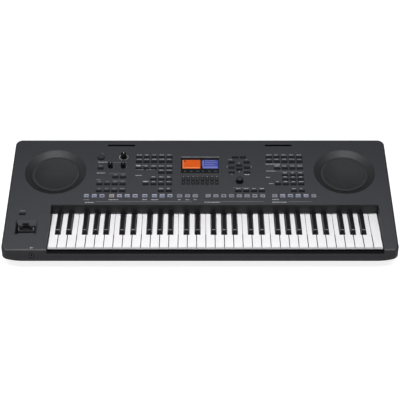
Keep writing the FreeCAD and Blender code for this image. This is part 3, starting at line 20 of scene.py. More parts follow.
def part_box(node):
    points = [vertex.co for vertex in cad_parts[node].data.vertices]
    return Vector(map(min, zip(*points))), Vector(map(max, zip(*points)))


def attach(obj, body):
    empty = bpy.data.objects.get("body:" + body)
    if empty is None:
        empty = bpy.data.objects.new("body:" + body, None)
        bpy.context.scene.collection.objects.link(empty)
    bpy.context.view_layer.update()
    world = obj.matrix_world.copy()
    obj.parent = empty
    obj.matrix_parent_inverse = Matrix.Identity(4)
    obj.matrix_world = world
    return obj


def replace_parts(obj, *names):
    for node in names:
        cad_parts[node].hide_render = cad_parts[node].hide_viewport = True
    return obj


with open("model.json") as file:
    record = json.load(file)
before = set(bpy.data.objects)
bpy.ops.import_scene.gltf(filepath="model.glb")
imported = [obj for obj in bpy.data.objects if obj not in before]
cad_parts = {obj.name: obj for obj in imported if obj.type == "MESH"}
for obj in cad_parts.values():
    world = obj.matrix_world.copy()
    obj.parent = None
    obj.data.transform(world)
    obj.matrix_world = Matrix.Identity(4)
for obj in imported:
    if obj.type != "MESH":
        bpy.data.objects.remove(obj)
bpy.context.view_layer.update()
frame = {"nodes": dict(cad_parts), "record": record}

LOG = logging.getLogger("arranger_keyboard")
MM = 0.001
CASE = "case"
NOTES = ("c", "c_sharp", "d", "d_sharp", "e", "f", "f_sharp", "g", "g_sharp", "a", "a_sharp", "b")

# Points closer together than this are one: on a CAD mesh, and on a piece made here.
CAD_WELD = 0.002 * MM
OWN_WELD = 0.0001 * MM
# Edges sharper than this keep a crease on a piece made here, or take a soft edge on a CAD node.
CREASE = math.radians(35)
SOFTENED = math.radians(40)
# Octaves of the slow and of the fine noise, and the roughness of every clear coat.
PATCH_DETAIL = 3.0
GRAIN_DETAIL = 2.0
COAT_ROUGHNESS = 0.08
# How far a normal goes sideways where the painted shade on a side starts, and where it is complete.
SIDE_START = 0.55
SIDE_END = 0.9
# Caps are read above this height over the panel, and their rows are told apart to a millimetre.
CAP_FOOT = 0.5 * MM
ROW_DIGITS = 3
# Ends of keys are told apart to a hundredth of a millimetre.
END_DIGITS = 5
# The random draws for the legends' words start from this.
SEED = 61

Settings = dict[str | int, object]
Links = dict[str | int, bpy.types.NodeSocket]
Outline = list[tuple[float, float]]
Sides = tuple[float, float, float, float]


def linear(code: str) -> tuple[float, float, float, float]:
    """Turn an sRGB hex colour into linear light.

    Args:
        code: Six hex digits after a hash sign.

    Returns:
        Red, green, blue and full opacity.
    """
    channels = [int(code[i:i + 2], 16) / 255 for i in (1, 3, 5)]
    red, green, blue = (c / 12.92 if c <= 0.04045 else ((c + 0.055) / 1.055) ** 2.4 for c in channels)
    return red, green, blue, 1.0


def add_node(tree: bpy.types.NodeTree, kind: str, settings: Settings | None = None,
             links: Links | None = None) -> bpy.types.Node:
    """Add one shader node, set it up and join its inputs.

    Args:
        tree: The node tree of a material or world.
        kind: Blender's name for the node.
        settings: Values by input name or number, or by property name where no input has it.
        links: Output sockets by the input name or number that they feed.

    Returns:
        The new node.
    """
    made = tree.nodes.new(kind)
    for name, value in (settings or {}).items():
        if isinstance(name, int) or name in made.inputs:
            made.inputs[name].default_value = value
        else:
            setattr(made, name, value)
    for name, socket in (links or {}).items():
        tree.links.new(socket, made.inputs[name])
    return made


def add_noise(tree: bpy.types.NodeTree, grain_mm: float, detail: float,
              place: bpy.types.NodeSocket) -> bpy.types.NodeSocket:
    """Add a noise texture.

    Args:
        tree: The node tree of a material.
        grain_mm: Width of a grain.
        detail: Octaves of finer grains.
        place: Where a point is.

    Returns:
        The noise's socket.
    """
    settings = {"Scale": 1 / (grain_mm * MM), "Detail": detail}
    return add_node(tree, "ShaderNodeTexNoise", settings, {"Vector": place}).outputs["Fac"]


@dataclass(frozen=True)
class Finish:
    """A surface: what it is made of and how that was made.

    Attributes:
        name: The material and its process.
        colour: Main sRGB colour.
        patch: Second sRGB colour of the slow mottling.
        roughness: Middle roughness.
        swing: How far the roughness goes up and down.
        patch_mm: Width of a patch of mottling.
        grain_mm: Width of a grain of the surface.
        lift_mm: Height of a grain.
        stretch: Grain density along X, Y and Z, for brushed and drawn surfaces.
        metallic: One for a metal.
        ior: Index of refraction of what isn't a metal.
        coat: Weight of a clear top layer.
        sheen: Weight of the fuzz on cloth and felt.
        glow: Light that the surface gives off.
    """

    name: str
    colour: str
    patch: str
    roughness: float
    swing: float = 0.05
    patch_mm: float = 45.0
    grain_mm: float = 1.4
    lift_mm: float = 0.03
    stretch: tuple[float, float, float] = (1.0, 1.0, 1.0)
    metallic: float = 0.0
    ior: float = 1.5
    coat: float = 0.0
    sheen: float = 0.0
    glow: float = 0.0

    def material(self) -> bpy.types.Material:
        """Find this finish's material, or make it the first time."""
        return bpy.data.materials.get(self.name) or self.mix()

    def mix(self) -> bpy.types.Material:
        """Make the material from mottling, uneven gloss and grain.

        Returns:
            The new material.
        """
        made = bpy.data.materials.new(self.name)
        made.use_nodes = True
        tree = made.node_tree
        shader = tree.nodes["Principled BSDF"]
        place = add_node(tree, "ShaderNodeTexCoord").outputs["Object"]
        drawn = add_node(tree, "ShaderNodeMapping", {"Scale": self.stretch}, {"Vector": place})
        patches = add_noise(tree, self.patch_mm, PATCH_DETAIL, place)
        grain = add_noise(tree, self.grain_mm, GRAIN_DETAIL, drawn.outputs["Vector"])
        gloss = add_node(tree, "ShaderNodeMapRange",
                         {"To Min": self.roughness - self.swing, "To Max": self.roughness + self.swing},
                         {"Value": patches})
        relief = add_node(tree, "ShaderNodeBump", {"Distance": self.lift_mm * MM, "Strength": 1.0},
                          {"Height": grain})
        tint = self.tint(tree, place, patches)
        values = {"Metallic": self.metallic, "Coat Weight": self.coat, "Coat Roughness": COAT_ROUGHNESS,
                  "Sheen Weight": self.sheen, "IOR": self.ior}
        for name, value in values.items():
            shader.inputs[name].default_value = value
        tree.links.new(tint, shader.inputs["Base Color"])
        tree.links.new(gloss.outputs["Result"], shader.inputs["Roughness"])
        tree.links.new(relief.outputs["Normal"], shader.inputs["Normal"])
        if self.glow:
            shader.inputs["Emission Strength"].default_value = self.glow
            tree.links.new(tint, shader.inputs["Emission Color"])
        return made

    def tint(self, tree: bpy.types.NodeTree, place: bpy.types.NodeSocket,
             patches: bpy.types.NodeSocket) -> bpy.types.NodeSocket:
        """Mottle the two colours.

        Args:
            tree: The material's node tree.
            place: Where a point is on the object, not used here.
            patches: The slow noise.

        Returns:
            The colour's socket.
        """
        mixed = add_node(tree, "ShaderNodeMix",
                         {"data_type": "RGBA", 6: linear(self.colour), 7: linear(self.patch)}, {0: patches})
        return mixed.outputs[2]


@dataclass(frozen=True)
class Laminate(Finish):
    """A coated circuit board with copper tracks under the lacquer.

    Attributes:
        track: Colour of a track under the lacquer.
        track_mm: Spacing of the tracks.
        length_share: Length of the lacquer between two cross tracks, as a share of the spacing.
        width_share: Width of a track, as a share of the spacing.
    """

    track: str = "#2f7a52"
    track_mm: float = 6.0
    length_share: float = 4.0
    width_share: float = 0.06

    def tint(self, tree: bpy.types.NodeTree, place: bpy.types.NodeSocket,
             patches: bpy.types.NodeSocket) -> bpy.types.NodeSocket:
        """Lay tracks over the lacquer's colour.

        Args:
            tree: The material's node tree.
            place: Where a point is on the object.
            patches: The slow noise, unused here but for the shared form.

        Returns:
            The colour's socket.
        """
        spacing = self.track_mm * MM
        tracks = add_node(tree, "ShaderNodeTexBrick", {
            "Color1": linear(self.colour), "Color2": linear(self.patch), "Mortar": linear(self.track),
            "Scale": 1.0, "Brick Width": self.length_share * spacing, "Row Height": spacing,
            "Mortar Size": self.width_share * spacing,
        }, {"Vector": place})
        return tracks.outputs["Color"]


@dataclass(frozen=True)
class Lean:
    """Painted shade or light: a change of colour on the faces that lean one way.

    Attributes:
        axis: The axis that they lean along.
        start: How far a face's normal goes along it where the change starts.
        end: The same where the change is complete.
        colour: Their sRGB colour.
    """

    axis: str
    start: float
    end: float
    colour: str


@dataclass(frozen=True)
class PaintedShading(Finish):
    """A finish with painted shade and light: faces that lean one way are painted darker, or lighter, than its
    top.

    Attributes:
        leans: The painted shade and light, each laid over the one before.
    """

    leans: tuple[Lean, ...] = ()

    def tint(self, tree: bpy.types.NodeTree, place: bpy.types.NodeSocket,
             patches: bpy.types.NodeSocket) -> bpy.types.NodeSocket:
        """Mottle the top and fade to the colours of painted shade and light where the faces lean.

        Args:
            tree: The material's node tree.
            place: Where a point is on the object.
            patches: The slow noise.

        Returns:
            The colour's socket.
        """
        colour = super().tint(tree, place, patches)
        normal = add_node(tree, "ShaderNodeNewGeometry").outputs["Normal"]
        facing = add_node(tree, "ShaderNodeSeparateXYZ", links={0: normal})
        for lean in self.leans:
            share = add_node(tree, "ShaderNodeMapRange", {"From Min": lean.start, "From Max": lean.end},
                             {"Value": facing.outputs[lean.axis]})
            mixed = add_node(tree, "ShaderNodeMix", {"data_type": "RGBA", 7: linear(lean.colour)},
                             {0: share.outputs["Result"], 6: colour})
            colour = mixed.outputs[2]
        return colour


def sides(colour: str) -> tuple[Lean, Lean]:
    """Paint both sides of a finish in one colour of shade."""
    return Lean("X", SIDE_START, SIDE_END, colour), Lean("X", -SIDE_START, -SIDE_END, colour)


# Spark-eroded ABS: an even, slightly bluish charcoal with a fine dry grain that spreads highlights.
# The real grain is about 0.2 mm and is drawn coarser so that it shows.
# The fascia, which looks to the front, the sides, and the fronts of the dishes, which lean to the back,
# carry painted shade, and painted light makes the back wall nearly as pale as the panel again.
CASE_ABS = PaintedShading("moulded_abs_charcoal", "#2f3035", "#2a2b30", 0.55, patch_mm=90, grain_mm=1.2,
                    lift_mm=0.035,
                    leans=(Lean("X", 0.15, 0.5, "#0a0a0e"), Lean("X", -0.15, -0.5, "#18191c"),
                           Lean("Y", -0.35, -0.8, "#151519"), Lean("Y", -0.17, 0.2, "#020204"),
                           Lean("Y", 0.45, 0.8, "#303136")))
# The joystick's well is the same ABS, left a little smoother, with painted shade, nearly black, where it
# leans to the back or to one side.
WELL_ABS = PaintedShading("moulded_abs_well", "#34353a", "#2f3035", 0.55, patch_mm=30, grain_mm=1.2, lift_mm=0.03,
                    leans=(Lean("X", 0.2, 0.6, "#040405"), Lean("Y", -0.1, 0.3, "#050506")))
# The lower half is the same ABS from a rougher tool, a little darker and duller.
BASE_ABS = Finish("moulded_abs_black", "#1d1e21", "#191a1d", 0.58, patch_mm=70, grain_mm=1.6, lift_mm=0.05)
# Satin moulded ABS of the strip behind the keys and of the sockets: so nearly black that it swallows
# light beside the white keys.
TRIM_ABS = Finish("satin_moulded_abs_trim", "#0a0a0c", "#08080a", 0.5, grain_mm=0.9, lift_mm=0.02)
# Painted shade, near black and dull, on the black key slip, the rail strip, the rest slots and the headphone
# collar.
SHADE_BLACK = Finish("flocked_abs_black", "#141418", "#08080a", 1.0, swing=0.0, patch_mm=4, grain_mm=0.7,
               lift_mm=0.1, ior=1.15)
# Polished acrylic-faced keys: bright and smooth, with a faint warm unevenness under a clear gloss.
# Their sides carry painted shade for the gaps between them; the lips in front carry painted light, the
# whitest.
WHITE_KEY = PaintedShading("polished_acrylic_key", "#e6e5e8", "#e1e0e3", 0.24, swing=0.04, patch_mm=30, grain_mm=5,
                     lift_mm=0.01, coat=0.3, ior=1.49,
                     leans=sides("#060607") + (Lean("Y", -0.5, -0.9, "#ffffff"),))
# Black keys are satin ABS with a finely matted top that takes on some of the white beside them.
BLACK_KEY = Finish("satin_moulded_abs_key", "#0b0b0e", "#101013", 0.42, patch_mm=14, grain_mm=0.7,
                   lift_mm=0.01, ior=1.3)
# The round long edges of the white keys carry painted shade, dark where they turn away from the light.
KEY_EDGE_SHADE = Finish("buffed_acrylic_key_edge", "#1c1c20", "#222226", 0.5, patch_mm=10, grain_mm=2,
                      lift_mm=0.01, ior=1.2)
# A painted highlight, pale and smooth, along the front edge of a black key's top.
KEY_EDGE_HIGHLIGHT = Finish("finger_worn_abs_edge", "#85858a", "#77777c", 0.3, patch_mm=4, grain_mm=0.7, lift_mm=0.01)
# Panel buttons: soft-touch caps, duller than the case and nearly black, with painted shade, blacker, on their
# fronts.
BUTTON_ABS = PaintedShading("satin_moulded_abs_button", "#1c1c20", "#202024", 0.75, patch_mm=8, grain_mm=0.8,
                      lift_mm=0.02, ior=1.25, leans=(Lean("Y", -0.4, -0.7, "#040405"),))
# Painted shadow, the darkest gloss-free black, on the panel round buttons and round controls, and on the
# small keys' edges.
SHADOW_FRAME = Finish("matt_printed_pet_frame", "#060607", "#080809", 0.9, patch_mm=8, grain_mm=0.8,
                   lift_mm=0.01, ior=1.2)
# The small keys under the display, the power button and the dial's face are the panel's own ABS.
# Their round edges carry painted shade, nearly black.
SOFT_ABS = PaintedShading("satin_moulded_abs_soft_key", "#27282d", "#232428", 0.55, patch_mm=8, grain_mm=0.8,
                    lift_mm=0.02,
                    leans=(Lean("X", 0.25, 0.6, "#08080a"), Lean("X", -0.25, -0.6, "#08080a"),
                           Lean("Y", -0.4, -0.7, "#0c0c0e"), Lean("Y", 0.05, 0.4, "#08080a")))
# Lit pads: pale lilac-grey polycarbonate that scatters the light inside it.
# Their walls and fronts carry painted shade, darker than their tops.
PAD_LILAC = PaintedShading("frosted_polycarbonate_lilac", "#7f8395", "#747889", 0.42, patch_mm=9, grain_mm=1,
                     lift_mm=0.02, ior=1.58,
                     leans=sides("#3a3b44") + (Lean("Y", -0.45, -0.8, "#3a3b44"),))
# The pads of the middle set are moulded in a greyer polycarbonate, with the same painted shade.
PAD_GREY = replace(PAD_LILAC, name="frosted_polycarbonate_grey", colour="#7b7b84", patch="#707079")
# One pad carries a lens with a warm beige tint.
PAD_BEIGE = replace(PAD_LILAC, name="frosted_polycarbonate_beige", colour="#9a9184", patch="#8e8578",
                    leans=())
# A painted highlight, pale, along the back edge of a lit pad.
PAD_GLEAM = replace(PAD_BEIGE, name="frosted_polycarbonate_gleam", colour="#a9adbc", patch="#9fa3b2")
# Knobs: black nylon, dry enough that only the edges of its flutes show.
KNOB_NYLON = Finish("moulded_nylon_knob", "#060608", "#09090b", 0.6, patch_mm=6, grain_mm=0.6, lift_mm=0.015,
                    ior=1.25)
# The joystick's drum and lever are dry moulded nylon that shows no highlight.
DRUM_NYLON = Finish("matt_moulded_nylon_drum", "#19191c", "#151518", 0.85, patch_mm=6, grain_mm=0.8,
                    lift_mm=0.03, ior=1.3)
# Painted highlights, paler, on the drum's front and ends, and painted shade, black, beside the lever.
DRUM_HIGHLIGHT = Finish("satin_moulded_nylon_rib", "#36373c", "#303136", 0.5, patch_mm=5, grain_mm=0.6,
                   lift_mm=0.02)
DRUM_SHADE = Finish("matt_moulded_rubber_rest", "#040405", "#060607", 0.95, patch_mm=4, grain_mm=0.6,
                      lift_mm=0.03, ior=1.2)
# Powder-coated steel mesh: dark grey, with the slight orange peel of baked powder, and painted shade
# towards its front and sides, where it curves up.
GRILLE_STEEL = PaintedShading("powder_coated_steel_mesh", "#3e3f43", "#37383c", 0.5, patch_mm=40, grain_mm=1.0,
                        lift_mm=0.03,
                        leans=(Lean("X", 0.02, 0.09, "#242528"), Lean("X", -0.05, -0.12, "#2b2c30"),
                               Lean("Y", -0.21, -0.1, "#1e1f22")))
# The plain rim of the mesh carries painted shade, blacker, for the gap round it.
RIM_STEEL = Finish("powder_coated_steel_rim", "#28292d", "#232427", 0.6, patch_mm=40, grain_mm=1.0,
                   lift_mm=0.03)
# Pressed paper pulp: dead black with loose fibres.
CONE_PAPER = Finish("pressed_paper_cone", "#121212", "#191918", 0.9, patch_mm=12, grain_mm=1.5, lift_mm=0.15,
                    sheen=0.2)
# Phosphated steel basket, dark and even.
BASKET_STEEL = Finish("phosphated_pressed_steel", "#2a2a2c", "#232325", 0.45, metallic=1.0, grain_mm=2)
# Sintered ferrite: a dull grey-black ceramic, ground flat.
FERRITE = Finish("ground_sintered_ferrite", "#2b2b2d", "#353537", 0.6, stretch=(1.0, 12.0, 1.0), grain_mm=3)
# Smoked acrylic window: black and mirror-smooth.
WINDOW_ACRYLIC = Finish("polished_smoked_acrylic", "#050506", "#070708", 0.08, swing=0.02, grain_mm=20,
                        lift_mm=0.004, coat=0.2, ior=1.4)
# Lit liquid-crystal fields and marks: flat, even light in warm and cold colours.
SCREEN_ORANGE = Finish("lit_lcd_orange", "#bc4f1a", "#b44714", 0.2, patch_mm=14, grain_mm=3, lift_mm=0.0,
                       ior=1.25, glow=0.4)
SCREEN_BLUE = replace(SCREEN_ORANGE, name="lit_lcd_blue", colour="#3e4486", patch="#383e7c")
SCREEN_CREAM = replace(SCREEN_ORANGE, name="lit_lcd_cream", colour="#cc8a60", patch="#c47c52", patch_mm=10)
SCREEN_PALE = replace(SCREEN_CREAM, name="lit_lcd_pale", colour="#8286bb", patch="#767ab0")
SCREEN_DIM = replace(SCREEN_CREAM, name="lit_lcd_dim", colour="#3c4a52", patch="#36434a")
# Screen-printed epoxy ink in four strengths: dry, flat and slightly raised.
INK_BRIGHT = Finish("screen_printed_ink_white", "#e4e5e8", "#d8d9dc", 0.6, patch_mm=3, grain_mm=0.5,
                    lift_mm=0.005)
INK_PLAIN = replace(INK_BRIGHT, name="screen_printed_ink_grey", colour="#bcbec3", patch="#b0b2b7")
INK_FAINT = replace(INK_BRIGHT, name="screen_printed_ink_slate", colour="#84868c", patch="#7a7c82")
INK_DARK = replace(INK_BRIGHT, name="screen_printed_ink_dark", colour="#2a2b34", patch="#25262f")
# Coated laminate with tracks, as behind every panel.
BOARD = Laminate("coated_fibreglass_laminate", "#12492f", "#165236", 0.35, grain_mm=2, coat=0.3)
# Pressed wool felt under the keys: fuzzy and dull.
FELT = Finish("pressed_wool_felt", "#4a1416", "#3d1012", 0.95, patch_mm=5, grain_mm=0.8, lift_mm=0.2,
              sheen=0.6)
# Silicone domes: pale and waxy.
SILICONE = Finish("moulded_silicone", "#b9b9b4", "#aeaea9", 0.55, patch_mm=4, grain_mm=1, ior=1.41)
# Nickel-plated steel: bright, with fine drawing marks along X.
NICKEL = Finish("nickel_plated_drawn_steel", "#b9b8b4", "#a9a8a4", 0.28, metallic=1.0,
                stretch=(0.1, 1.0, 1.0), grain_mm=0.6, lift_mm=0.01)
# Zinc-plated screws: greyer, with turning marks.
ZINC = Finish("zinc_plated_screw", "#8d8f92", "#7f8184", 0.4, metallic=1.0, grain_mm=0.4, lift_mm=0.01)
# Painted shade, nearly black and dull, in the gap round the speaker mesh.
GAP_SHADE = Finish("die_cut_polyurethane_foam", "#0a0a0b", "#0d0d0e", 0.95, patch_mm=4, grain_mm=0.8, lift_mm=0.2)
# Rubber feet: matt black with a bloom.
RUBBER = Finish("moulded_rubber_foot", "#161616", "#1f1f1e", 0.85, patch_mm=6, grain_mm=0.8, lift_mm=0.06)


class Tone(Enum):
    """How strongly a legend is printed."""

    BRIGHT = INK_BRIGHT
    PLAIN = INK_PLAIN
    FAINT = INK_FAINT


@dataclass(frozen=True)
class PanelFrame:
    """The sloping panel as a drawing board: X across, Y up the slope, Z out of it.

    Attributes:
        crease_y: Where the slope starts at the front.
        crease_z: How high it starts.
        slope: The slope in degrees.
    """

    crease_y: float = -191.5 * MM
    crease_z: float = 59 * MM
    slope: float = 10.9

    @property
    def matrix(self) -> Matrix:
        """Drawing board to frame."""
        start = Matrix.Translation((0, self.crease_y, self.crease_z))
        return start @ Matrix.Rotation(math.radians(self.slope), 4, "X")


PANEL = PanelFrame()
FLAT = Matrix.Identity(4)


def rounded(low_x: float, high_x: float, low_y: float, high_y: float, radius: float,
            steps: int = 3) -> Outline:
    """Draw a rectangle with round corners.

    Args:
        low_x: Left side.
        high_x: Right side.
        low_y: Front side.
        high_y: Back side.
        radius: Corner radius, at most half a side.
        steps: Points on each corner after its first.

    Returns:
        The outline, anticlockwise.
    """
    points: Outline = []
    corners = ((high_x - radius, high_y - radius), (low_x + radius, high_y - radius),
               (low_x + radius, low_y + radius), (high_x - radius, low_y + radius))
    for quarter, (x, y) in enumerate(corners):
        for step in range(steps + 1):
            turn = math.pi / 2 * (quarter + step / steps)
            points.append((x + radius * math.cos(turn), y + radius * math.sin(turn)))
    return points


def circle(x: float, y: float, radius: float, count: int, start: float = 0.0) -> Outline:
    """Draw a regular polygon or circle.

    Args:
        x: Middle across.
        y: Middle up.
        radius: Its radius.
        count: How many points.
        start: Angle of the first point.

    Returns:
        The outline, anticlockwise.
    """
    turns = (start + 2 * math.pi * i / count for i in range(count))
    return [(x + radius * math.cos(turn), y + radius * math.sin(turn)) for turn in turns]


class Sculpt:
    """A mesh in the making, on its own drawing board."""

    def __init__(self) -> None:
        """Start with nothing."""
        self.mesh = bmesh.new()

    def skin(self, rings: list[list[Vector]], capped: bool = True) -> None:
        """Stretch faces over rings of equal count, one above the other.

        Args:
            rings: Rings of points, all the same way round.
            capped: Whether both ends are closed.
        """
        rows = [[self.mesh.verts.new(point) for point in ring] for ring in rings]
        for lower, upper in zip(rows, rows[1:]):
            for i in range(len(lower)):
                k = (i + 1) % len(lower)
                self.mesh.faces.new((lower[i], lower[k], upper[k], upper[i]))
        if capped:
            self.mesh.faces.new(list(reversed(rows[0])))
            self.mesh.faces.new(rows[-1])

    def prism(self, outline: Outline, low: float, high: float, edge: float = 0.0) -> None:
        """Raise an outline, with a small bevel round its top where asked.

        Args:
            outline: The outline on the board.
            low: Height of its underside.
            high: Height of its top.
            edge: Width of the bevel.
        """
        levels = [(0.0, low), (0.0, high)] if not edge else [(0.0, low), (0.0, high - edge), (edge, high)]
        middle = Vector((sum(x for x, _ in outline), sum(y for _, y in outline))) / len(outline)
        spans = [max(abs(x - middle.x) for x, _ in outline), max(abs(y - middle.y) for _, y in outline)]
        rings = []
        for inset, height in levels:
            shrink = [1 - inset / span for span in spans]
            rings.append([Vector((middle.x + (x - middle.x) * shrink[0],
                                  middle.y + (y - middle.y) * shrink[1], height)) for x, y in outline])
        self.skin(rings)

    def bar(self, low_x: float, high_x: float, low_y: float, high_y: float, low: float, high: float) -> None:
        """Raise a plain rectangle, for print."""
        self.prism([(low_x, low_y), (high_x, low_y), (high_x, high_y), (low_x, high_y)], low, high)

    def turned(self, x: float, y: float, profile: Iterable[tuple[float, float]], count: int = 48,
               shape: Callable[[int, float], float] | None = None, capped: bool = True) -> None:
        """Turn a profile about an upright axis.

        Args:
            x: The axis across the board.
            y: The axis up the board.
            profile: Radius and height of each ring, upwards.
            count: Points in a ring.
            shape: Changes a radius by the ring's number and the turn, for flutes.
            capped: Whether both ends are closed.
        """
        rings = []
        for level, (radius, height) in enumerate(profile):
            ring = []
            for i in range(count):
                turn = 2 * math.pi * i / count
                reach = radius if shape is None else radius * shape(level, turn)
                ring.append(Vector((x + reach * math.cos(turn), y + reach * math.sin(turn), height)))
            rings.append(ring)
        self.skin(rings, capped)

    def tube(self, x: float, y: float, inner: float, outer: float, low: float, high: float,
             count: int = 40) -> None:
        """Make a flat ring with square edges."""
        profile = [(inner, low), (outer, low), (outer, high), (inner, high), (inner, low)]
        self.turned(x, y, profile, count, capped=False)

    def frame(self, outer: Outline, inner: Outline, low: float, high: float) -> None:
        """Raise the band between two outlines of equal count.

        Args:
            outer: The outer outline.
            inner: The inner outline.
            low: Height of the underside.
            high: Height of the top.
        """
        levels = ((outer, low), (outer, high), (inner, high), (inner, low), (outer, low))
        rings = [[Vector((*point, height)) for point in outline] for outline, height in levels]
        self.skin(rings, capped=False)

    def place(self, name: str, finish: Finish, body: str, slot: str,
              board: Matrix = PANEL.matrix) -> bpy.types.Object:
        """Finish the mesh, dress it and let it ride on a body.

        Args:
            name: The piece's name.
            finish: Its finish.
            body: The CAD body that it rides on.
            slot: The record's material slot, not used.
            board: Drawing board to frame, the panel's unless another is given.

        Returns:
            The piece.
        """
        bmesh.ops.remove_doubles(self.mesh, verts=self.mesh.verts, dist=OWN_WELD)
        bmesh.ops.recalc_face_normals(self.mesh, faces=self.mesh.faces)
        self.mesh.transform(board)
        data = bpy.data.meshes.new(name)
        self.mesh.to_mesh(data)
        self.mesh.free()
        data.shade_smooth()
        data.set_sharp_from_angle(angle=CREASE)
        data.materials.append(finish.material())
        piece = bpy.data.objects.new(name, data)
        bpy.context.scene.collection.objects.link(piece)
        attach(piece, body)
        LOG.info("%s: %d faces, %s", name, len(data.polygons), finish.name)
        return piece


def dress(node: str, finish: Finish, edge: float = 0.0, steps: int = 2) -> None:
    """Give a CAD node its finish, and soften its sharp edges where asked.

    Args:
        node: The CAD node.
        finish: Its finish.
        edge: Width of the soft edge.
        steps: Faces across the soft edge.
    """
    piece = frame["nodes"][node]
    if not piece.material_slots:
        piece.data.materials.append(None)
    for slot in piece.material_slots:
        slot.material = finish.material()
    if edge:
        weld = piece.modifiers.new("weld", "WELD")
        weld.merge_threshold = CAD_WELD
        soft = piece.modifiers.new("soft_edges", "BEVEL")
        soft.width = edge
        soft.segments = steps
        soft.limit_method = "ANGLE"
        soft.angle_limit = SOFTENED
        soft.harden_normals = True
    LOG.info("%s: dressed in %s", node, finish.name)


@dataclass(frozen=True)
class Cap:
    """The box of a button's top, a pad's top or a whole node on the panel's drawing board.

    Attributes:
        low: Front left corner and lowest height above the panel.
        high: Back right corner and top.
    """

    low: Vector
    high: Vector

    @classmethod
    def around(cls, spots: list[Vector]) -> "Cap":
        """Draw the box round some points."""
        low, high = (Vector(pick(spot[axis] for spot in spots) for axis in range(3)) for pick in (min, max))
        return cls(low, high)

    @property
    def middle(self) -> Vector:
        """The middle of the box."""
        return (self.low + self.high) / 2

    @property
    def radius(self) -> float:
        """Half the width of the box."""
        return (self.high.x - self.low.x) / 2

    def outline(self, out: tuple[float, float, float], corner: float) -> Outline:
        """Draw the box with round corners, moved out at its front, sides and back, or in where negative."""
        front, beside, back = out
        return rounded(self.low.x - beside, self.high.x + beside, self.low.y - front, self.high.y + back,
                       corner)


def on_panel(node: str) -> Cap:
    """Find the box of a whole CAD node on the panel."""
    to_board = PANEL.matrix.inverted()
    return Cap.around([to_board @ vert.co for vert in frame["nodes"][node].data.vertices])


def caps_of(node: str) -> list[Cap]:
    """Read where a node's caps stand, from the CAD mesh.

    Args:
        node: A node of buttons or pads.

    Returns:
        The caps, the back row first and each row from left to right.
    """
    solid = bmesh.new()
    solid.from_mesh(frame["nodes"][node].data)
    bmesh.ops.remove_doubles(solid, verts=solid.verts, dist=CAD_WELD)
    solid.transform(PANEL.matrix.inverted())
    caps, seen = [], set()
    for seed in solid.verts:
        if seed in seen:
            continue
        island, fresh = {seed}, [seed]
        while fresh:
            near = [edge.other_vert(vert) for vert in fresh for edge in vert.link_edges]
            fresh = [vert for vert in set(near) if vert not in island]
            island.update(fresh)
        seen.update(island)
        caps.append(Cap.around([vert.co for vert in island if vert.co.z > CAP_FOOT]))
    solid.free()
    return sorted(caps, key=lambda cap: (-round(cap.middle.y, ROW_DIGITS), cap.middle.x))


@dataclass
class CaseShell:
    """Both case halves and what closes them.

    Attributes:
        edge: Soft edge of the strips round the keys.
        rail_depth: Front to back size of the front rail's flat top.
        rail_top: Height of the front rail.
        strip: Thickness of the strip of painted shade on the rail.
        shade_sheet: Inner and outer distance of a slot's sheet of painted shade from the box of its opening,
            side to side.
        shade_sheet_across: The same, front to back.
    """

    edge: float = 0.5 * MM
    rail_depth: float = 2.0 * MM
    rail_top: float = 50 * MM
    strip: float = 0.15 * MM
    shade_sheet: tuple[float, float] = (0.15 * MM, 0.42 * MM)
    shade_sheet_across: tuple[float, float] = (0.08 * MM, 0.24 * MM)

    def rail_shade(self) -> None:
        """Lay a black strip of painted shade on the front rail, from end to end of the key slip behind it."""
        low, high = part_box("key_slip")
        strip = Sculpt()
        strip.prism(rounded(low.x + self.edge, high.x - self.edge, low.y - self.rail_depth, low.y, self.edge),
                    self.rail_top - self.strip / 2, self.rail_top + self.strip, self.strip / 2)
        strip.place("rail_shade", SHADE_BLACK, CASE, "black_plastic", FLAT)

    def slot_shade(self, name: str) -> None:
        """Line one slot of the music rest with painted shade, flush with the sloping panel.

        Args:
            name: The slot's opening in the record.
        """
        opening = next(o for o in frame["record"]["physics"]["openings"] if o["name"] == name)
        low, high = (Vector(corner) for corner in opening["box_m"])
        inner, outer = (rounded(low.x - side, high.x + side, low.y - end, high.y + end, self.strip)
                        for side, end in zip(self.shade_sheet, self.shade_sheet_across))
        rise = math.tan(math.radians(PANEL.slope))
        top = [PANEL.crease_z - self.strip / 3 + (y - PANEL.crease_y) * rise for _, y in inner]
        floor = low.z - self.shade_sheet_across[0]
        shade_sheet = Sculpt()
        shade_sheet.skin([[Vector((*point, floor - self.strip)) for point in outer],
                    [Vector((*point, height)) for point, height in zip(outer, top)],
                    [Vector((*point, height)) for point, height in zip(inner, top)],
                    [Vector((*point, floor)) for point in inner]])
        shade_sheet.place(name + "_liner", SHADE_BLACK, CASE, "black_plastic", FLAT)

    def build(self) -> None:
        """Dress the case."""
        self.rail_shade()
        for side in ("left", "right"):
            self.slot_shade(side + "_rest_slot")
        dress("upper_case", CASE_ABS)
        dress("lower_case", BASE_ABS)
        dress("fallboard", TRIM_ABS, self.edge)
        # The key slip is black itself; its deepest near-black is painted shade for the gap under the key
        # fronts.
        dress("key_slip", SHADE_BLACK, self.edge)
        dress("rubber_feet", RUBBER)
        dress("case_screws", ZINC)


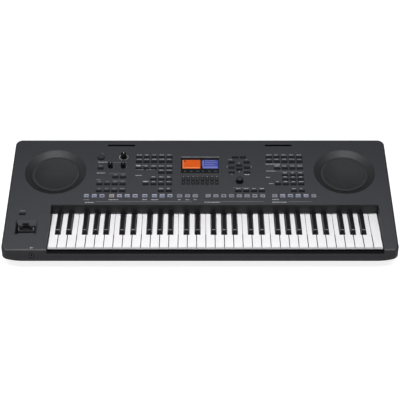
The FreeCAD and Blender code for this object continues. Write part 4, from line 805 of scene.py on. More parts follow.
@dataclass
class KeyBed:
    """The keys and what carries them.

    Attributes:
        white_edge: Soft edge of a white key.
        black_edge: Soft edge of a black key.
        black_steps: Faces across the soft edge of a black key.
        worn: How far the painted highlight on a black key goes along its top and down its front.
        inset: From the side of a black key's top to the end of its painted highlight.
        round_off: How far the painted highlight stands out.
        turned: How far the painted shade on a white key's long edge goes along its top and down its side.
    """

    white_edge: float = 0.7 * MM
    black_edge: float = 1.2 * MM
    black_steps: int = 3
    worn: float = 1.3 * MM
    inset: float = 0.9 * MM
    round_off: float = 0.06 * MM
    turned: float = 0.5 * MM

    def front_edge(self, node: str) -> tuple[float, float, list[float]]:
        """Find the front edge of the tops of one note's keys.

        Args:
            node: The CAD node of the keys.

        Returns:
            Where the edge lies along Y and Z, and the X of the keys' ends from left to right.
        """
        spots = [vert.co for vert in frame["nodes"][node].data.vertices]
        top = max(spot.z for spot in spots)
        tops = [spot for spot in spots if top - spot.z < self.round_off]
        lip = min(spot.y for spot in tops)
        ends = {round(spot.x, END_DIGITS) for spot in tops if spot.y - lip < self.round_off}
        return lip, top, sorted(ends)

    def shaded_long_edges(self, node: str) -> None:
        """Lay painted shade, in thin round strips, along the long edges of the white keys of one note, in
        front of the black keys.

        Args:
            node: The CAD node of the keys, which is also their body.
        """
        lip, top, ends = self.front_edge(node)
        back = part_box("keys_c_sharp")[0][1]
        profile = ((self.turned, 0), (self.turned / 2, self.round_off / 2), (0, 0), (0, -self.turned))
        strips = Sculpt()
        for index, x in enumerate(ends):
            inward = 1 if index % 2 == 0 else -1
            strips.skin([[Vector((x + inward * across, y, top + up)) for across, up in profile]
                         for y in (lip, back)])
        strips.place(node + "_shaded_long_edges", KEY_EDGE_SHADE, node, "white_key_plastic", FLAT)

    def highlight_edges(self, node: str) -> None:
        """Lay a painted highlight, a round strip, along the front edges of the black keys of one note.

        Args:
            node: The CAD node of the keys, which is also their body.
        """
        lip, top, ends = self.front_edge(node)
        spots = [vert.co for vert in frame["nodes"][node].data.vertices]
        front = min(spot.y for spot in spots)
        foot = max(spot.z for spot in spots if spot.y - front < self.round_off)
        down = Vector((front - lip, foot - top)).normalized()
        out = Vector((down.y, -down.x))
        corner, back, up = Vector((lip, top)), Vector((1, 0)), Vector((0, 1))
        profile = [corner + back * self.worn, corner + back * self.worn / 2 + up * self.round_off,
                   corner + (out + up) * self.round_off / 2,
                   corner + down * self.worn / 2 + out * self.round_off, corner + down * self.worn,
                   corner + (down + back) * self.worn / 3]
        strips = Sculpt()
        for low_x, high_x in zip(ends[::2], ends[1::2]):
            strips.skin([[Vector((x, *point)) for point in profile]
                         for x in (low_x + self.inset, high_x - self.inset)])
        strips.place(node + "_highlight_edges", KEY_EDGE_HIGHLIGHT, node, "black_key_plastic", FLAT)

    def build(self) -> None:
        """Dress the keys and the key bed."""
        for node in [*("keys_" + note for note in NOTES), "key_top_c"]:
            if node.endswith("sharp"):
                dress(node, BLACK_KEY, self.black_edge, self.black_steps)
                self.highlight_edges(node)
            else:
                dress(node, WHITE_KEY, self.white_edge)
                self.shaded_long_edges(node)
        dress("key_frame", BASE_ABS)
        dress("key_pivot_rail", TRIM_ABS)
        dress("key_stop_felts", FELT)
        dress("key_contact_board", BOARD)
        dress("key_contact_domes", SILICONE)


@dataclass
class SpeakerPair:
    """Two speakers behind perforated grilles.

    Attributes:
        pitch: Spacing of the holes.
        hole: Radius of a hole.
        sides: Sides of a hole and of the cell round it.
        rim: Width of the plain rim.
        rim_points: Points round the rim and round the ring of painted shade.
        sheet: Thickness of the mesh sheet.
        sag: How far the sheet is pressed down in its middle.
        shade_ring: Width of the ring of painted shade that shows round the rim.
    """

    pitch: float = 3.0 * MM
    hole: float = 1.05 * MM
    sides: int = 6
    rim: float = 3.4 * MM
    rim_points: int = 96
    sheet: float = 1.0 * MM
    sag: float = 2.5 * MM
    shade_ring: float = 1.3 * MM

    def build(self) -> None:
        """Make both grilles and dress what is behind them."""
        for side in ("left", "right"):
            self.grille(side + "_speaker_grille")
        dress("speaker_cones", CONE_PAPER)
        dress("speaker_baskets", BASKET_STEEL)
        dress("speaker_magnets", FERRITE)

    def grille(self, node: str) -> None:
        """Punch one grille sheet in place of its plain CAD disc.

        Args:
            node: The CAD disc.
        """
        disc = on_panel(node)
        x, y, low, radius = disc.middle.x, disc.middle.y, disc.low.z, disc.radius
        sheet = Sculpt()
        self.punch(sheet, disc.middle, radius - self.rim, low, low + self.sheet)
        # The plain rim is painted darker as the shade of the gap round the mesh.
        rim = Sculpt()
        rim.tube(x, y, radius - self.rim - self.pitch, radius - self.shade_ring, low, low + self.sheet,
                 self.rim_points)
        rim.place(node + "_rim", RIM_STEEL, CASE, "grille_steel")
        # A ring of painted shade, nearly black, lies in the gap round the rim.
        shade_ring = Sculpt()
        shade_ring.tube(x, y, radius - self.shade_ring, radius, low, low + self.sheet / 2, self.rim_points)
        shade_ring.place(node + "_seat", GAP_SHADE, CASE, "rubber")
        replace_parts(sheet.place(node + "_mesh", GRILLE_STEEL, CASE, "grille_steel"), node)

    def punch(self, sheet: Sculpt, middle: Vector, radius: float, low: float, high: float) -> None:
        """Fill a circle with six-sided cells, each with a hole through it.

        Args:
            sheet: The mesh to add to.
            middle: The circle's middle.
            radius: The circle's radius.
            low: Height of the underside.
            high: Height of the top.
        """
        row_gap = self.pitch * math.sqrt(3) / 2
        cell = self.pitch / math.sqrt(3)
        start = math.pi / self.sides
        reach = int(radius / row_gap) + 1
        for row, column in itertools.product(range(-reach, reach + 1), repeat=2):
            x = (column + (row % 2) / 2) * self.pitch
            y = row * row_gap
            if math.hypot(x, y) > radius:
                continue
            ring = circle(x, y, cell, self.sides, start)
            bore = circle(x, y, self.hole, self.sides, start)
            levels = ((ring, low), (bore, low), (bore, high), (ring, high))
            sheet.skin([[Vector((middle.x + u, middle.y + v, height - self.dip(math.hypot(u, v), radius)))
                         for u, v in outline] for outline, height in levels], capped=False)

    def dip(self, reach: float, radius: float) -> float:
        """How far the sheet lies below its rim at a distance from its middle."""
        return self.sag * max(0.0, 1 - (reach / radius) ** 2)


@dataclass
class Display:
    """The display window with its two lit fields.

    Attributes:
        edge: Soft edge of the window.
        orange: Low X, high X, low Y and high Y of the left field on the panel.
        blue: The same of the right field.
        corner: Corner radius of a field.
        border: Width of a field's pale border, which the shares below are shares of.
        upright_shares: From a field's left side to both sides of its upright border.
        level_shares: From a field's lower side to both sides of its level border.
        level_start_share: From a field's left side to the start of its level border.
        rows: How many rows the list in the right field has.
        row_start_share: From the field's lower side to the first row, in row gaps.
        row_spare_share: How many row gaps are left over the rows.
        row_left_share: From the field's left side to the rows.
        row_right_shares: From the field's right side to the rows, in turn.
        row_share: Height of a row.
        square_share: Side of the square in the left field, and its distance from the left.
        square_drop_share: How far the square lies below the top of the field.
        square_corner: Corner radius of the square.
        marks: How many status marks lie along the window's lower edge.
        mark_left: Where the first one starts.
        mark_step: From one to the next.
        mark_widths: Their widths, in turn.
        mark_line: Their lower and upper sides.
        lamps: How many small blocks each column between the fields has.
        lamp_columns: Where the columns start.
        lamp_low: Where the lowest block starts.
        lamp_step: From one block to the next.
        lamp_size: Width and height of a block.
        film: Thickness of a lit layer.
        sunk_share: How much of a layer's thickness lies in what is under it.
        top: Height of the window above the panel.
    """

    edge: float = 0.3 * MM
    orange: Sides = (-46.8 * MM, 0.9 * MM, 288.2 * MM, 320.8 * MM)
    blue: Sides = (6.6 * MM, 48.9 * MM, 288.2 * MM, 320.8 * MM)
    corner: float = 0.8 * MM
    border: float = 1.6 * MM
    upright_shares: tuple[float, float] = (0.5, 1.5)
    level_shares: tuple[float, float] = (1.2, 2.6)
    level_start_share: float = 2.5
    rows: int = 4
    row_start_share: float = 1.1
    row_spare_share: float = 0.6
    row_left_share: float = 4.0
    row_right_shares: tuple[float, ...] = (2.0, 5.0)
    row_share: float = 0.7
    square_share: float = 2.4
    square_drop_share: float = 1.6
    square_corner: float = 0.3 * MM
    marks: int = 6
    mark_left: float = -42 * MM
    mark_step: float = 16 * MM
    mark_widths: tuple[float, ...] = (3.9 * MM, 5.85 * MM, 7.8 * MM)
    mark_line: tuple[float, float] = (277 * MM, 279.5 * MM)
    lamps: int = 4
    lamp_columns: tuple[float, ...] = (2.2 * MM, 4.7 * MM)
    lamp_low: float = 300 * MM
    lamp_step: float = 5 * MM
    lamp_size: tuple[float, float] = (1.8 * MM, 2.6 * MM)
    film: float = 0.08 * MM
    sunk_share: float = 0.3
    top: float = field(default_factory=lambda: on_panel("display_window").high.z)

    def build(self) -> None:
        """Dress the window and light its fields."""
        dress("display_window", WINDOW_ACRYLIC, self.edge)
        dress("display_module", BASE_ABS)
        self.lit_field("screen_field_orange", self.orange, SCREEN_ORANGE, SCREEN_CREAM)
        self.lit_field("screen_field_blue", self.blue, SCREEN_BLUE, SCREEN_PALE)
        self.list_rows()
        self.square()
        self.status_marks()

    def layer(self, level: int) -> tuple[float, float]:
        """Low and high height of a lit layer above the window."""
        low = self.top + (level - self.sunk_share) * self.film
        return low, low + self.film

    def lay(self, layer: Sculpt, name: str, finish: Finish) -> None:
        """Put a lit layer on the window."""
        layer.place(name, finish, CASE, "window_acrylic")

    def lit_field(self, name: str, box: Sides, ground: Finish, line: Finish) -> None:
        """Lay one lit field with a pale border along its left and lower sides.

        Args:
            name: The piece's name.
            box: Its sides on the panel.
            ground: The field's finish.
            line: The border's finish.
        """
        low_x, high_x, low_y, high_y = box
        plate = Sculpt()
        plate.prism(rounded(*box, self.corner), *self.layer(0))
        self.lay(plate, name, ground)
        upright = [low_x + share * self.border for share in self.upright_shares]
        level = [low_y + share * self.border for share in self.level_shares]
        edge = Sculpt()
        edge.bar(*upright, low_y + self.border, high_y - self.border, *self.layer(1))
        edge.bar(low_x + self.level_start_share * self.border, high_x - self.border, *level, *self.layer(1))
        self.lay(edge, name + "_border", line)

    def list_rows(self) -> None:
        """Rule the blue field into rows, as a list shows them."""
        low_x, high_x, low_y, high_y = self.blue
        gap = (high_y - low_y) / (self.rows + self.row_spare_share)
        rows = Sculpt()
        for row, share in zip(range(self.rows), itertools.cycle(self.row_right_shares)):
            y = low_y + (row + self.row_start_share) * gap
            rows.bar(low_x + self.row_left_share * self.border, high_x - share * self.border,
                     y, y + self.row_share * self.border, *self.layer(1))
        self.lay(rows, "screen_rows", SCREEN_PALE)

    def square(self) -> None:
        """Put a dark square in the orange field."""
        side = self.square_share * self.border
        left, top = self.orange[0] + side, self.orange[3] - self.square_drop_share * self.border
        square = Sculpt()
        square.prism(rounded(left, left + side, top - side, top, self.square_corner), *self.layer(1))
        self.lay(square, "screen_square", WINDOW_ACRYLIC)

    def status_marks(self) -> None:
        """Put dim blocks along the window's lower edge and between its fields."""
        marks = Sculpt()
        for i, width in zip(range(self.marks), itertools.cycle(self.mark_widths)):
            low_x = self.mark_left + i * self.mark_step
            marks.bar(low_x, low_x + width, *self.mark_line, *self.layer(0))
        width, height = self.lamp_size
        for low_x, i in itertools.product(self.lamp_columns, range(self.lamps)):
            low_y = self.lamp_low + i * self.lamp_step
            marks.bar(low_x, low_x + width, low_y, low_y + height, *self.layer(0))
        self.lay(marks, "screen_marks", SCREEN_DIM)


class Mark(Enum):
    """The plain shapes printed on the pads, in turn."""

    TRIANGLE = 0
    RING = 1
    BLOCK = 2
    BARS = 3


@dataclass
class Controls:
    """Buttons, pads and what is behind them.

    Attributes:
        edge: Soft edge of a cap.
        corner: Corner radius of the painted shadow round a button, and of a lens.
        mark: Half the size of a pad's mark.
        small_share: Half the height of a block and the inside of a ring, as a share of the mark.
        bar_share: Width of one of two bars, as a share of the mark.
        mark_points: Points round a ring on a pad.
        ink: Thickness of the print.
        frame_gap: Gap between a cap and the painted shadow round it.
        button_shadow: Width of the painted shadow round a button, in front of it, beside it and behind it.
        soft_key_shadow: The same for a key under the display.
        border: Width of the border of painted shade on a key under the display.
        rings: Width of the ring of painted shadow round the power button and round the dial.
        ring_share: How far a ring lies forward, as a share of its width.
        ring_points: Points round a ring on the panel.
        gleam: From a pad's sides to its painted highlight, and the highlight's depth.
        gleam_share: How far a gleam stands out, as a share of the print's thickness.
        lens: From a pad's sides to its lens.
        lens_share: How far a lens stands out, as a share of the print's thickness.
    """

    edge: float = 0.6 * MM
    corner: float = 0.8 * MM
    mark: float = 3.0 * MM
    small_share: float = 0.7
    bar_share: float = 0.6
    mark_points: int = 24
    ink: float = 0.05 * MM
    frame_gap: float = 0.25 * MM
    button_shadow: tuple[float, float, float] = (0.1 * MM, 0.8 * MM, 1.2 * MM)
    soft_key_shadow: tuple[float, float, float] = (0.5 * MM, 0.3 * MM, 0.3 * MM)
    border: float = 1.1 * MM
    rings: tuple[float, float] = (1.6 * MM, 1.7 * MM)
    ring_share: float = 0.7
    ring_points: int = 48
    gleam: tuple[float, float] = (0.9 * MM, 2.4 * MM)
    gleam_share: float = 0.8
    lens: float = 0.5 * MM
    lens_share: float = 0.6

    # Pads with a painted highlight, and pads with a lens of another tint, counted from the left
    GLEAMS = (("style_pads", range(11)), ("part_pads", range(1, 5)))
    LENSES = (("style_pads", (3,), PAD_BEIGE), ("style_pads", (11, 12, 13), PAD_GREY),
              ("part_pads", (0, 5), PAD_GREY))

    def build(self) -> None:
        """Dress the caps and print the pads."""
        for node in ("left_buttons", "style_buttons", "setting_buttons", "cursor_buttons", "voice_buttons",
                     "effect_buttons", "cheek_button"):
            dress(node, BUTTON_ABS, self.edge)
            self.shadow_frames(node, self.button_shadow)
        for node in ("display_buttons_upper", "display_buttons_lower"):
            dress(node, SOFT_ABS, self.edge)
            self.shadow_frames(node, self.soft_key_shadow)
            self.shade_borders(node)
        dress("power_button", SOFT_ABS, self.edge)
        for node, width in zip(("power_button", "data_dial"), self.rings):
            self.ring(node, width)
        for node, finish in (("style_pads", PAD_LILAC), ("memory_pads", PAD_GREY), ("part_pads", PAD_LILAC)):
            dress(node, finish, self.edge)
            self.marks(node)
        for node, which in self.GLEAMS:
            self.gleams(node, which)
        for node, which, finish in self.LENSES:
            self.lenses(node, which, finish)
        dress("panel_switches", TRIM_ABS)
        dress("panel_boards", BOARD)
        dress("control_pots", NICKEL)

    def shadow_frames(self, node: str, widths: tuple[float, float, float]) -> None:
        """Lay a thin frame of painted shadow on the panel round each cap.

        Args:
            node: The CAD node of the caps.
            widths: The frame's width in front of a cap, beside it and behind it.
        """
        gap = (self.frame_gap,) * 3
        reach = tuple(self.frame_gap + width for width in widths)
        layer = Sculpt()
        for cap in caps_of(node):
            far, near = cap.outline(reach, self.corner), cap.outline(gap, self.corner)
            layer.frame(far, near, -self.ink, 2 * self.ink)
        layer.place(node + "_frames", SHADOW_FRAME, CASE, "black_plastic")

    def shade_borders(self, node: str) -> None:
        """Lay a black border of painted shade on each cap, just inside its round edge.

        Args:
            node: The CAD node of the caps, which is also their body.
        """
        insets = (self.edge, self.edge + self.border)
        layer = Sculpt()
        for cap in caps_of(node):
            far, near = (cap.outline((-inset,) * 3, self.edge) for inset in insets)
            layer.frame(far, near, cap.high.z - self.ink, cap.high.z + self.ink)
        layer.place(node + "_borders", SHADOW_FRAME, node, "black_plastic")

    def ring(self, node: str, width: float) -> None:
        """Lay a black ring of painted shadow on the panel round a round control, widest in front of it.

        Args:
            node: The CAD node of the control.
            width: The ring's width at the sides.
        """
        cap = caps_of(node)[0]
        x, y, radius = cap.middle.x, cap.middle.y, cap.radius + self.frame_gap
        ring = Sculpt()
        ring.frame(circle(x, y - self.ring_share * width, radius + width, self.ring_points),
                   circle(x, y, radius, self.ring_points), -self.ink, 2 * self.ink)
        ring.place(node + "_ring", SHADOW_FRAME, CASE, "black_plastic")

    def marks(self, node: str) -> None:
        """Print one plain shape on each pad.

        Args:
            node: The CAD node of the pads, which is also their body.
        """
        layer = Sculpt()
        for shape, cap in zip(itertools.cycle(Mark), caps_of(node)):
            self.print_mark(layer, shape, cap)
        layer.place(node + "_marks", INK_DARK, node, "pad_plastic")

    def print_mark(self, layer: Sculpt, shape: Mark, cap: Cap) -> None:
        """Print one shape on one pad.

        Args:
            layer: The mesh to add to.
            shape: The shape.
            cap: The pad.
        """
        x, y, small = cap.middle.x, cap.middle.y, self.small_share * self.mark
        low, high = cap.high.z - self.ink, cap.high.z + self.ink
        if shape is Mark.TRIANGLE:
            layer.prism(circle(x, y, self.mark, 3), low, high)
        elif shape is Mark.RING:
            layer.tube(x, y, small, self.mark, low, high, self.mark_points)
        elif shape is Mark.BLOCK:
            layer.bar(x - self.mark, x + self.mark, y - small, y + small, low, high)
        else:
            width = self.bar_share * self.mark
            for middle in (x - width, x + width):
                layer.bar(middle - width / 2, middle + width / 2, y - self.mark, y + self.mark, low, high)

    def gleams(self, node: str, which: Iterable[int]) -> None:
        """Lay a painted highlight, a pale strip, along the back edge of some pads.

        Args:
            node: The CAD node of the pads, which is also their body.
            which: The pads, counted from the left.
        """
        caps, (inset, depth) = caps_of(node), self.gleam
        strip = Sculpt()
        for cap in (caps[i] for i in which):
            strip.bar(cap.low.x + inset, cap.high.x - inset, cap.high.y - inset - depth, cap.high.y - inset,
                      cap.high.z - self.ink, cap.high.z + self.gleam_share * self.ink)
        strip.place(node + "_gleams", PAD_GLEAM, node, "pad_plastic")

    def lenses(self, node: str, which: tuple[int, ...], finish: Finish) -> None:
        """Lay lenses of another tint on some pads.

        Args:
            node: The CAD node of the pads, which is also their body.
            which: The pads, counted from the left.
            finish: The lenses' finish.
        """
        caps, layer = caps_of(node), Sculpt()
        for cap in (caps[i] for i in which):
            layer.prism(cap.outline((-self.lens,) * 3, self.corner),
                        cap.high.z - self.ink, cap.high.z + self.lens_share * self.ink)
        tint = finish.name.rsplit("_", 1)[1]
        layer.place("%s_%s_lenses" % (node, tint), finish, node, "pad_plastic")


@dataclass
class KnobSet:
    """Fluted knobs with a white pointer, in place of the plain CAD knobs.

    Attributes:
        flutes: How many flutes go round a knob.
        flute_points: Points across a flute and the land beside it.
        fluted: Which rings of a knob's profile are fluted, counted from the end of its shaft.
        depth_share: Depth of a flute as a share of the radius.
        shaft: Radius of the shaft.
        shaft_end: Where the shaft ends below the panel.
        lift: Gap under a knob.
        skirt: Height of the plain skirt.
        run_in: Height of the ring where the flutes run in.
        run_in_share: Its radius, as a share of the knob's.
        waist_shares: Radius and height of the wall's middle, as shares of the knob's.
        pointer_shares: From the middle to both ends of the pointer, as shares of the radius.
        pointer_half: Half the pointer's width.
        pointer_drop: How far the pointer's underside and top lie below the knob's top.
    """

    flutes: int = 18
    flute_points: int = 8
    fluted: range = range(4, 7)
    depth_share: float = 0.07
    shaft: float = 3 * MM
    shaft_end: float = -13.4 * MM
    lift: float = 0.4 * MM
    skirt: float = 1.2 * MM
    run_in: float = 1.6 * MM
    run_in_share: float = 0.98
    waist_shares: tuple[float, float] = (0.96, 0.6)
    pointer_shares: tuple[float, float] = (0.2, 0.56)
    pointer_half: float = 0.5 * MM
    pointer_drop: tuple[float, float] = (0.5 * MM, 0.3 * MM)

    # Rings of a knob's crown and of the dial's face: share of the radius, and distance below the top
    CROWN = ((0.94, 0.9 * MM), (0.88, 0.25 * MM), (0.78, 0.0), (0.68, 0.1 * MM), (0.58, 0.4 * MM))
    FACE = ((0.6, 0.5 * MM), (0.65, 0.2 * MM), (0.63, 0.1 * MM))

    def build(self) -> None:
        """Make all the knobs."""
        for node in ("volume_knob", "left_control_knob", "right_control_knob"):
            self.knob(node)
            self.pointer(node)
        self.knob("data_dial")
        self.face("data_dial")

    def flute(self, level: int, turn: float) -> float:
        """Share of the radius left at a turn, on the rings that are fluted."""
        cut = self.depth_share * (1 + math.cos(self.flutes * turn)) / 2
        return 1 - cut if level in self.fluted else 1.0

    def knob(self, node: str) -> None:
        """Turn one knob.

        Args:
            node: The CAD knob, which is also its body.
        """
        box = on_panel(node)
        radius, top, (waist, height) = box.radius, box.high.z, self.waist_shares
        profile = [(self.shaft, self.shaft_end), (self.shaft, self.lift), (radius, self.lift),
                   (radius, self.lift + self.skirt), (self.run_in_share * radius, self.lift + self.run_in),
                   (waist * radius, height * top),
                   *((share * radius, top - drop) for share, drop in self.CROWN)]
        cap = Sculpt()
        cap.turned(box.middle.x, box.middle.y, profile, self.flute_points * self.flutes, self.flute)
        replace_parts(cap.place(node + "_cap", KNOB_NYLON, node, "black_plastic"), node)

    def pointer(self, node: str) -> None:
        """Sink a white pointer into the dished top of one knob.

        Args:
            node: The CAD knob, which is also its body.
        """
        box = on_panel(node)
        ends = [box.middle.y + share * box.radius for share in self.pointer_shares]
        levels = [box.high.z - drop for drop in self.pointer_drop]
        pointer = Sculpt()
        pointer.bar(box.middle.x - self.pointer_half, box.middle.x + self.pointer_half, *ends, *levels)
        pointer.place(node + "_pointer", INK_BRIGHT, node, "black_plastic")

    def face(self, node: str) -> None:
        """Lay a face into the dished top of the dial.

        Args:
            node: The CAD dial, which is also its body.
        """
        box = on_panel(node)
        profile = [(share * box.radius, box.high.z - drop) for share, drop in self.FACE]
        face = Sculpt()
        face.turned(box.middle.x, box.middle.y, profile)
        face.place(node + "_face", SOFT_ABS, node, "black_plastic")


@dataclass(frozen=True)
class Wrap:
    """A thin plate wrapped round part of the joystick drum's front.

    Attributes:
        across: Its middle along the drum.
        half: Half its length along the drum.
        lean: Where its middle is, in degrees forward of the drum's top.
        spread: Degrees from there to its sides.
        slices: One for an oblong plate, more for the slices of an oval one.
    """

    across: float
    half: float
    lean: float
    spread: float
    slices: int = 1


@dataclass
class Joystick:
    """The joystick in its well.

    Attributes:
        edge: Soft edge of the lever.
        fine_edge: Soft edge of the well and the drum.
        lever_steps: Faces across the lever's soft edge.
        middle: Where the drum's axis crosses the lever: across, up the panel and above it.
        radius: The drum's radius.
        plate: Thickness of the pieces laid on the drum.
        arc: Faces round a wrapped plate.
        end_share: How far the slices of an oval plate go towards its pointed ends.
        rest: The patch of painted shade on the right half of the drum.
        rim: The painted highlight at the drum's right end.
        rib: The painted highlight along the whole drum.
    """

    edge: float = 0.7 * MM
    fine_edge: float = 0.4 * MM
    lever_steps: int = 3
    middle: Vector = field(default_factory=lambda: Vector((-443.4, 77, -10)) * MM)
    radius: float = 10 * MM
    plate: float = 0.12 * MM
    arc: int = 8
    end_share: float = 0.97
    rest: Wrap = Wrap(12.5 * MM, 5 * MM, 27, 14, 8)
    rim: Wrap = Wrap(19 * MM, 1.7 * MM, 38, 24)
    rib: Wrap = Wrap(0, 20.6 * MM, 60, 6)

    def build(self) -> None:
        """Dress the joystick and lay painted highlights and painted shade on its drum."""
        dress("joystick_housing", WELL_ABS, self.fine_edge)
        dress("joystick_drum", DRUM_NYLON, self.fine_edge)
        dress("joystick_lever", DRUM_NYLON, self.edge, self.lever_steps)
        shade_patches, highlight_strips = Sculpt(), Sculpt()
        for side in (-1, 1):
            self.wrap(shade_patches, replace(self.rest, across=side * self.rest.across))
            self.wrap(highlight_strips, replace(self.rim, across=side * self.rim.across))
        self.wrap(highlight_strips, self.rib)
        shade_patches.place("drum_shade_patches", DRUM_SHADE, "joystick_drum", "black_plastic")
        highlight_strips.place("drum_highlight_strips", DRUM_HIGHLIGHT, "joystick_drum", "black_plastic")

    def wrap(self, layer: Sculpt, plate: Wrap) -> None:
        """Wrap a thin plate round part of the drum's front.

        Args:
            layer: The mesh to add to.
            plate: The plate.
        """
        oval, rings = plate.slices > 1, []
        for step in range(plate.slices + 1):
            place = (2 * step / plate.slices - 1) * (self.end_share if oval else 1)
            reach = plate.spread * (math.sqrt(1 - place ** 2) if oval else 1)
            turns = [math.radians(plate.lean + reach * (2 * i / self.arc - 1)) for i in range(self.arc + 1)]
            outer, inner = ([(-math.sin(turn) * radius, math.cos(turn) * radius) for turn in turns]
                            for radius in (self.radius + self.plate, self.radius - self.plate / 2))
            rings.append([self.middle + Vector((plate.across + place * plate.half, y, z))
                          for y, z in outer + inner[::-1]])
        layer.skin(rings)


@dataclass
class Sockets:
    """Sockets and the boards that carry them.

    Attributes:
        edge: Soft edge of the square sockets.
        lining: Inner and outer radius of a socket's metal lining.
        lining_rise: Low and high end of the lining, from the socket's inner end outwards.
        lining_points: Points round a lining.
        wall: Thickness of the wall that a socket's mouth goes through.
        collar_points: Points round the headphone socket's collar.
    """

    edge: float = 0.2 * MM
    lining: tuple[float, float] = (3.3 * MM, 4.05 * MM)
    lining_rise: tuple[float, float] = (0.1 * MM, 2.8 * MM)
    lining_points: int = 32
    wall: float = 3 * MM
    collar_points: int = 48

    # The collar's closed profile: radius, and height above the fascia
    COLLAR = ((4.2 * MM, 0.03 * MM), (6.6 * MM, 0.03 * MM), (6.4 * MM, 0.25 * MM), (5.0 * MM, 0.3 * MM),
              (4.2 * MM, 0.1 * MM), (4.2 * MM, 0.03 * MM))

    def build(self) -> None:
        """Dress the sockets, line the round ones and put a collar on the headphone socket."""
        dress("headphone_jack", TRIM_ABS)
        dress("rear_jacks", TRIM_ABS)
        dress("usb_sockets", NICKEL, self.edge)
        dress("power_inlet", TRIM_ABS, self.edge)
        dress("jack_board", BOARD)
        dress("main_board", BOARD)
        for mount in frame["record"]["mounts"]:
            if mount["kind"] == "bore":
                self.line(mount)
        self.collar()

    def board(self, mount: dict, beyond: float) -> Matrix:
        """Set a drawing board square to a bore.

        Args:
            mount: The bore's mount in the record.
            beyond: How far past the bore's outer end the board stands.

        Returns:
            Drawing board to frame.
        """
        axis = Vector(mount["axis"])
        spot = Vector(mount["pos_m"]) + axis * (mount["dims"]["length_mm"] * MM / 2 + beyond)
        return Matrix.Translation(spot) @ axis.to_track_quat("Z", "Y").to_matrix().to_4x4()

    def line(self, mount: dict) -> None:
        """Line one round socket with a plated ring.

        Args:
            mount: The socket's mount in the record.
        """
        ring = Sculpt()
        ring.tube(0, 0, *self.lining, *self.lining_rise, self.lining_points)
        ring.place(mount["name"] + "_lining", NICKEL, CASE, "steel", self.board(mount, 0))

    def collar(self) -> None:
        """Put a black collar round the headphone socket, flush with the fascia; its black also stands for the
        shade in the socket's mouth.
        """
        mount = next(m for m in frame["record"]["mounts"] if m["name"] == "headphone_bore")
        ring = Sculpt()
        ring.turned(0, 0, self.COLLAR, self.collar_points, capped=False)
        ring.place("headphone_collar", SHADE_BLACK, CASE, "black_plastic", self.board(mount, self.wall))


@dataclass(frozen=True)
class Scale:
    """A ring of ticks round a knob, with a label behind it.

    Attributes:
        node: The CAD knob.
        radius: Middle radius of the ticks.
        ticks: How many there are.
        tone: How strongly they are printed.
        half_width: Half the width of a tick.
        label_half: Half the width of the label.
        label_gap: From the knob's middle to the middle of the label.
        label_tone: How strongly the label is printed.
    """

    node: str
    radius: float
    ticks: int
    tone: Tone
    half_width: float
    label_half: float
    label_gap: float
    label_tone: Tone


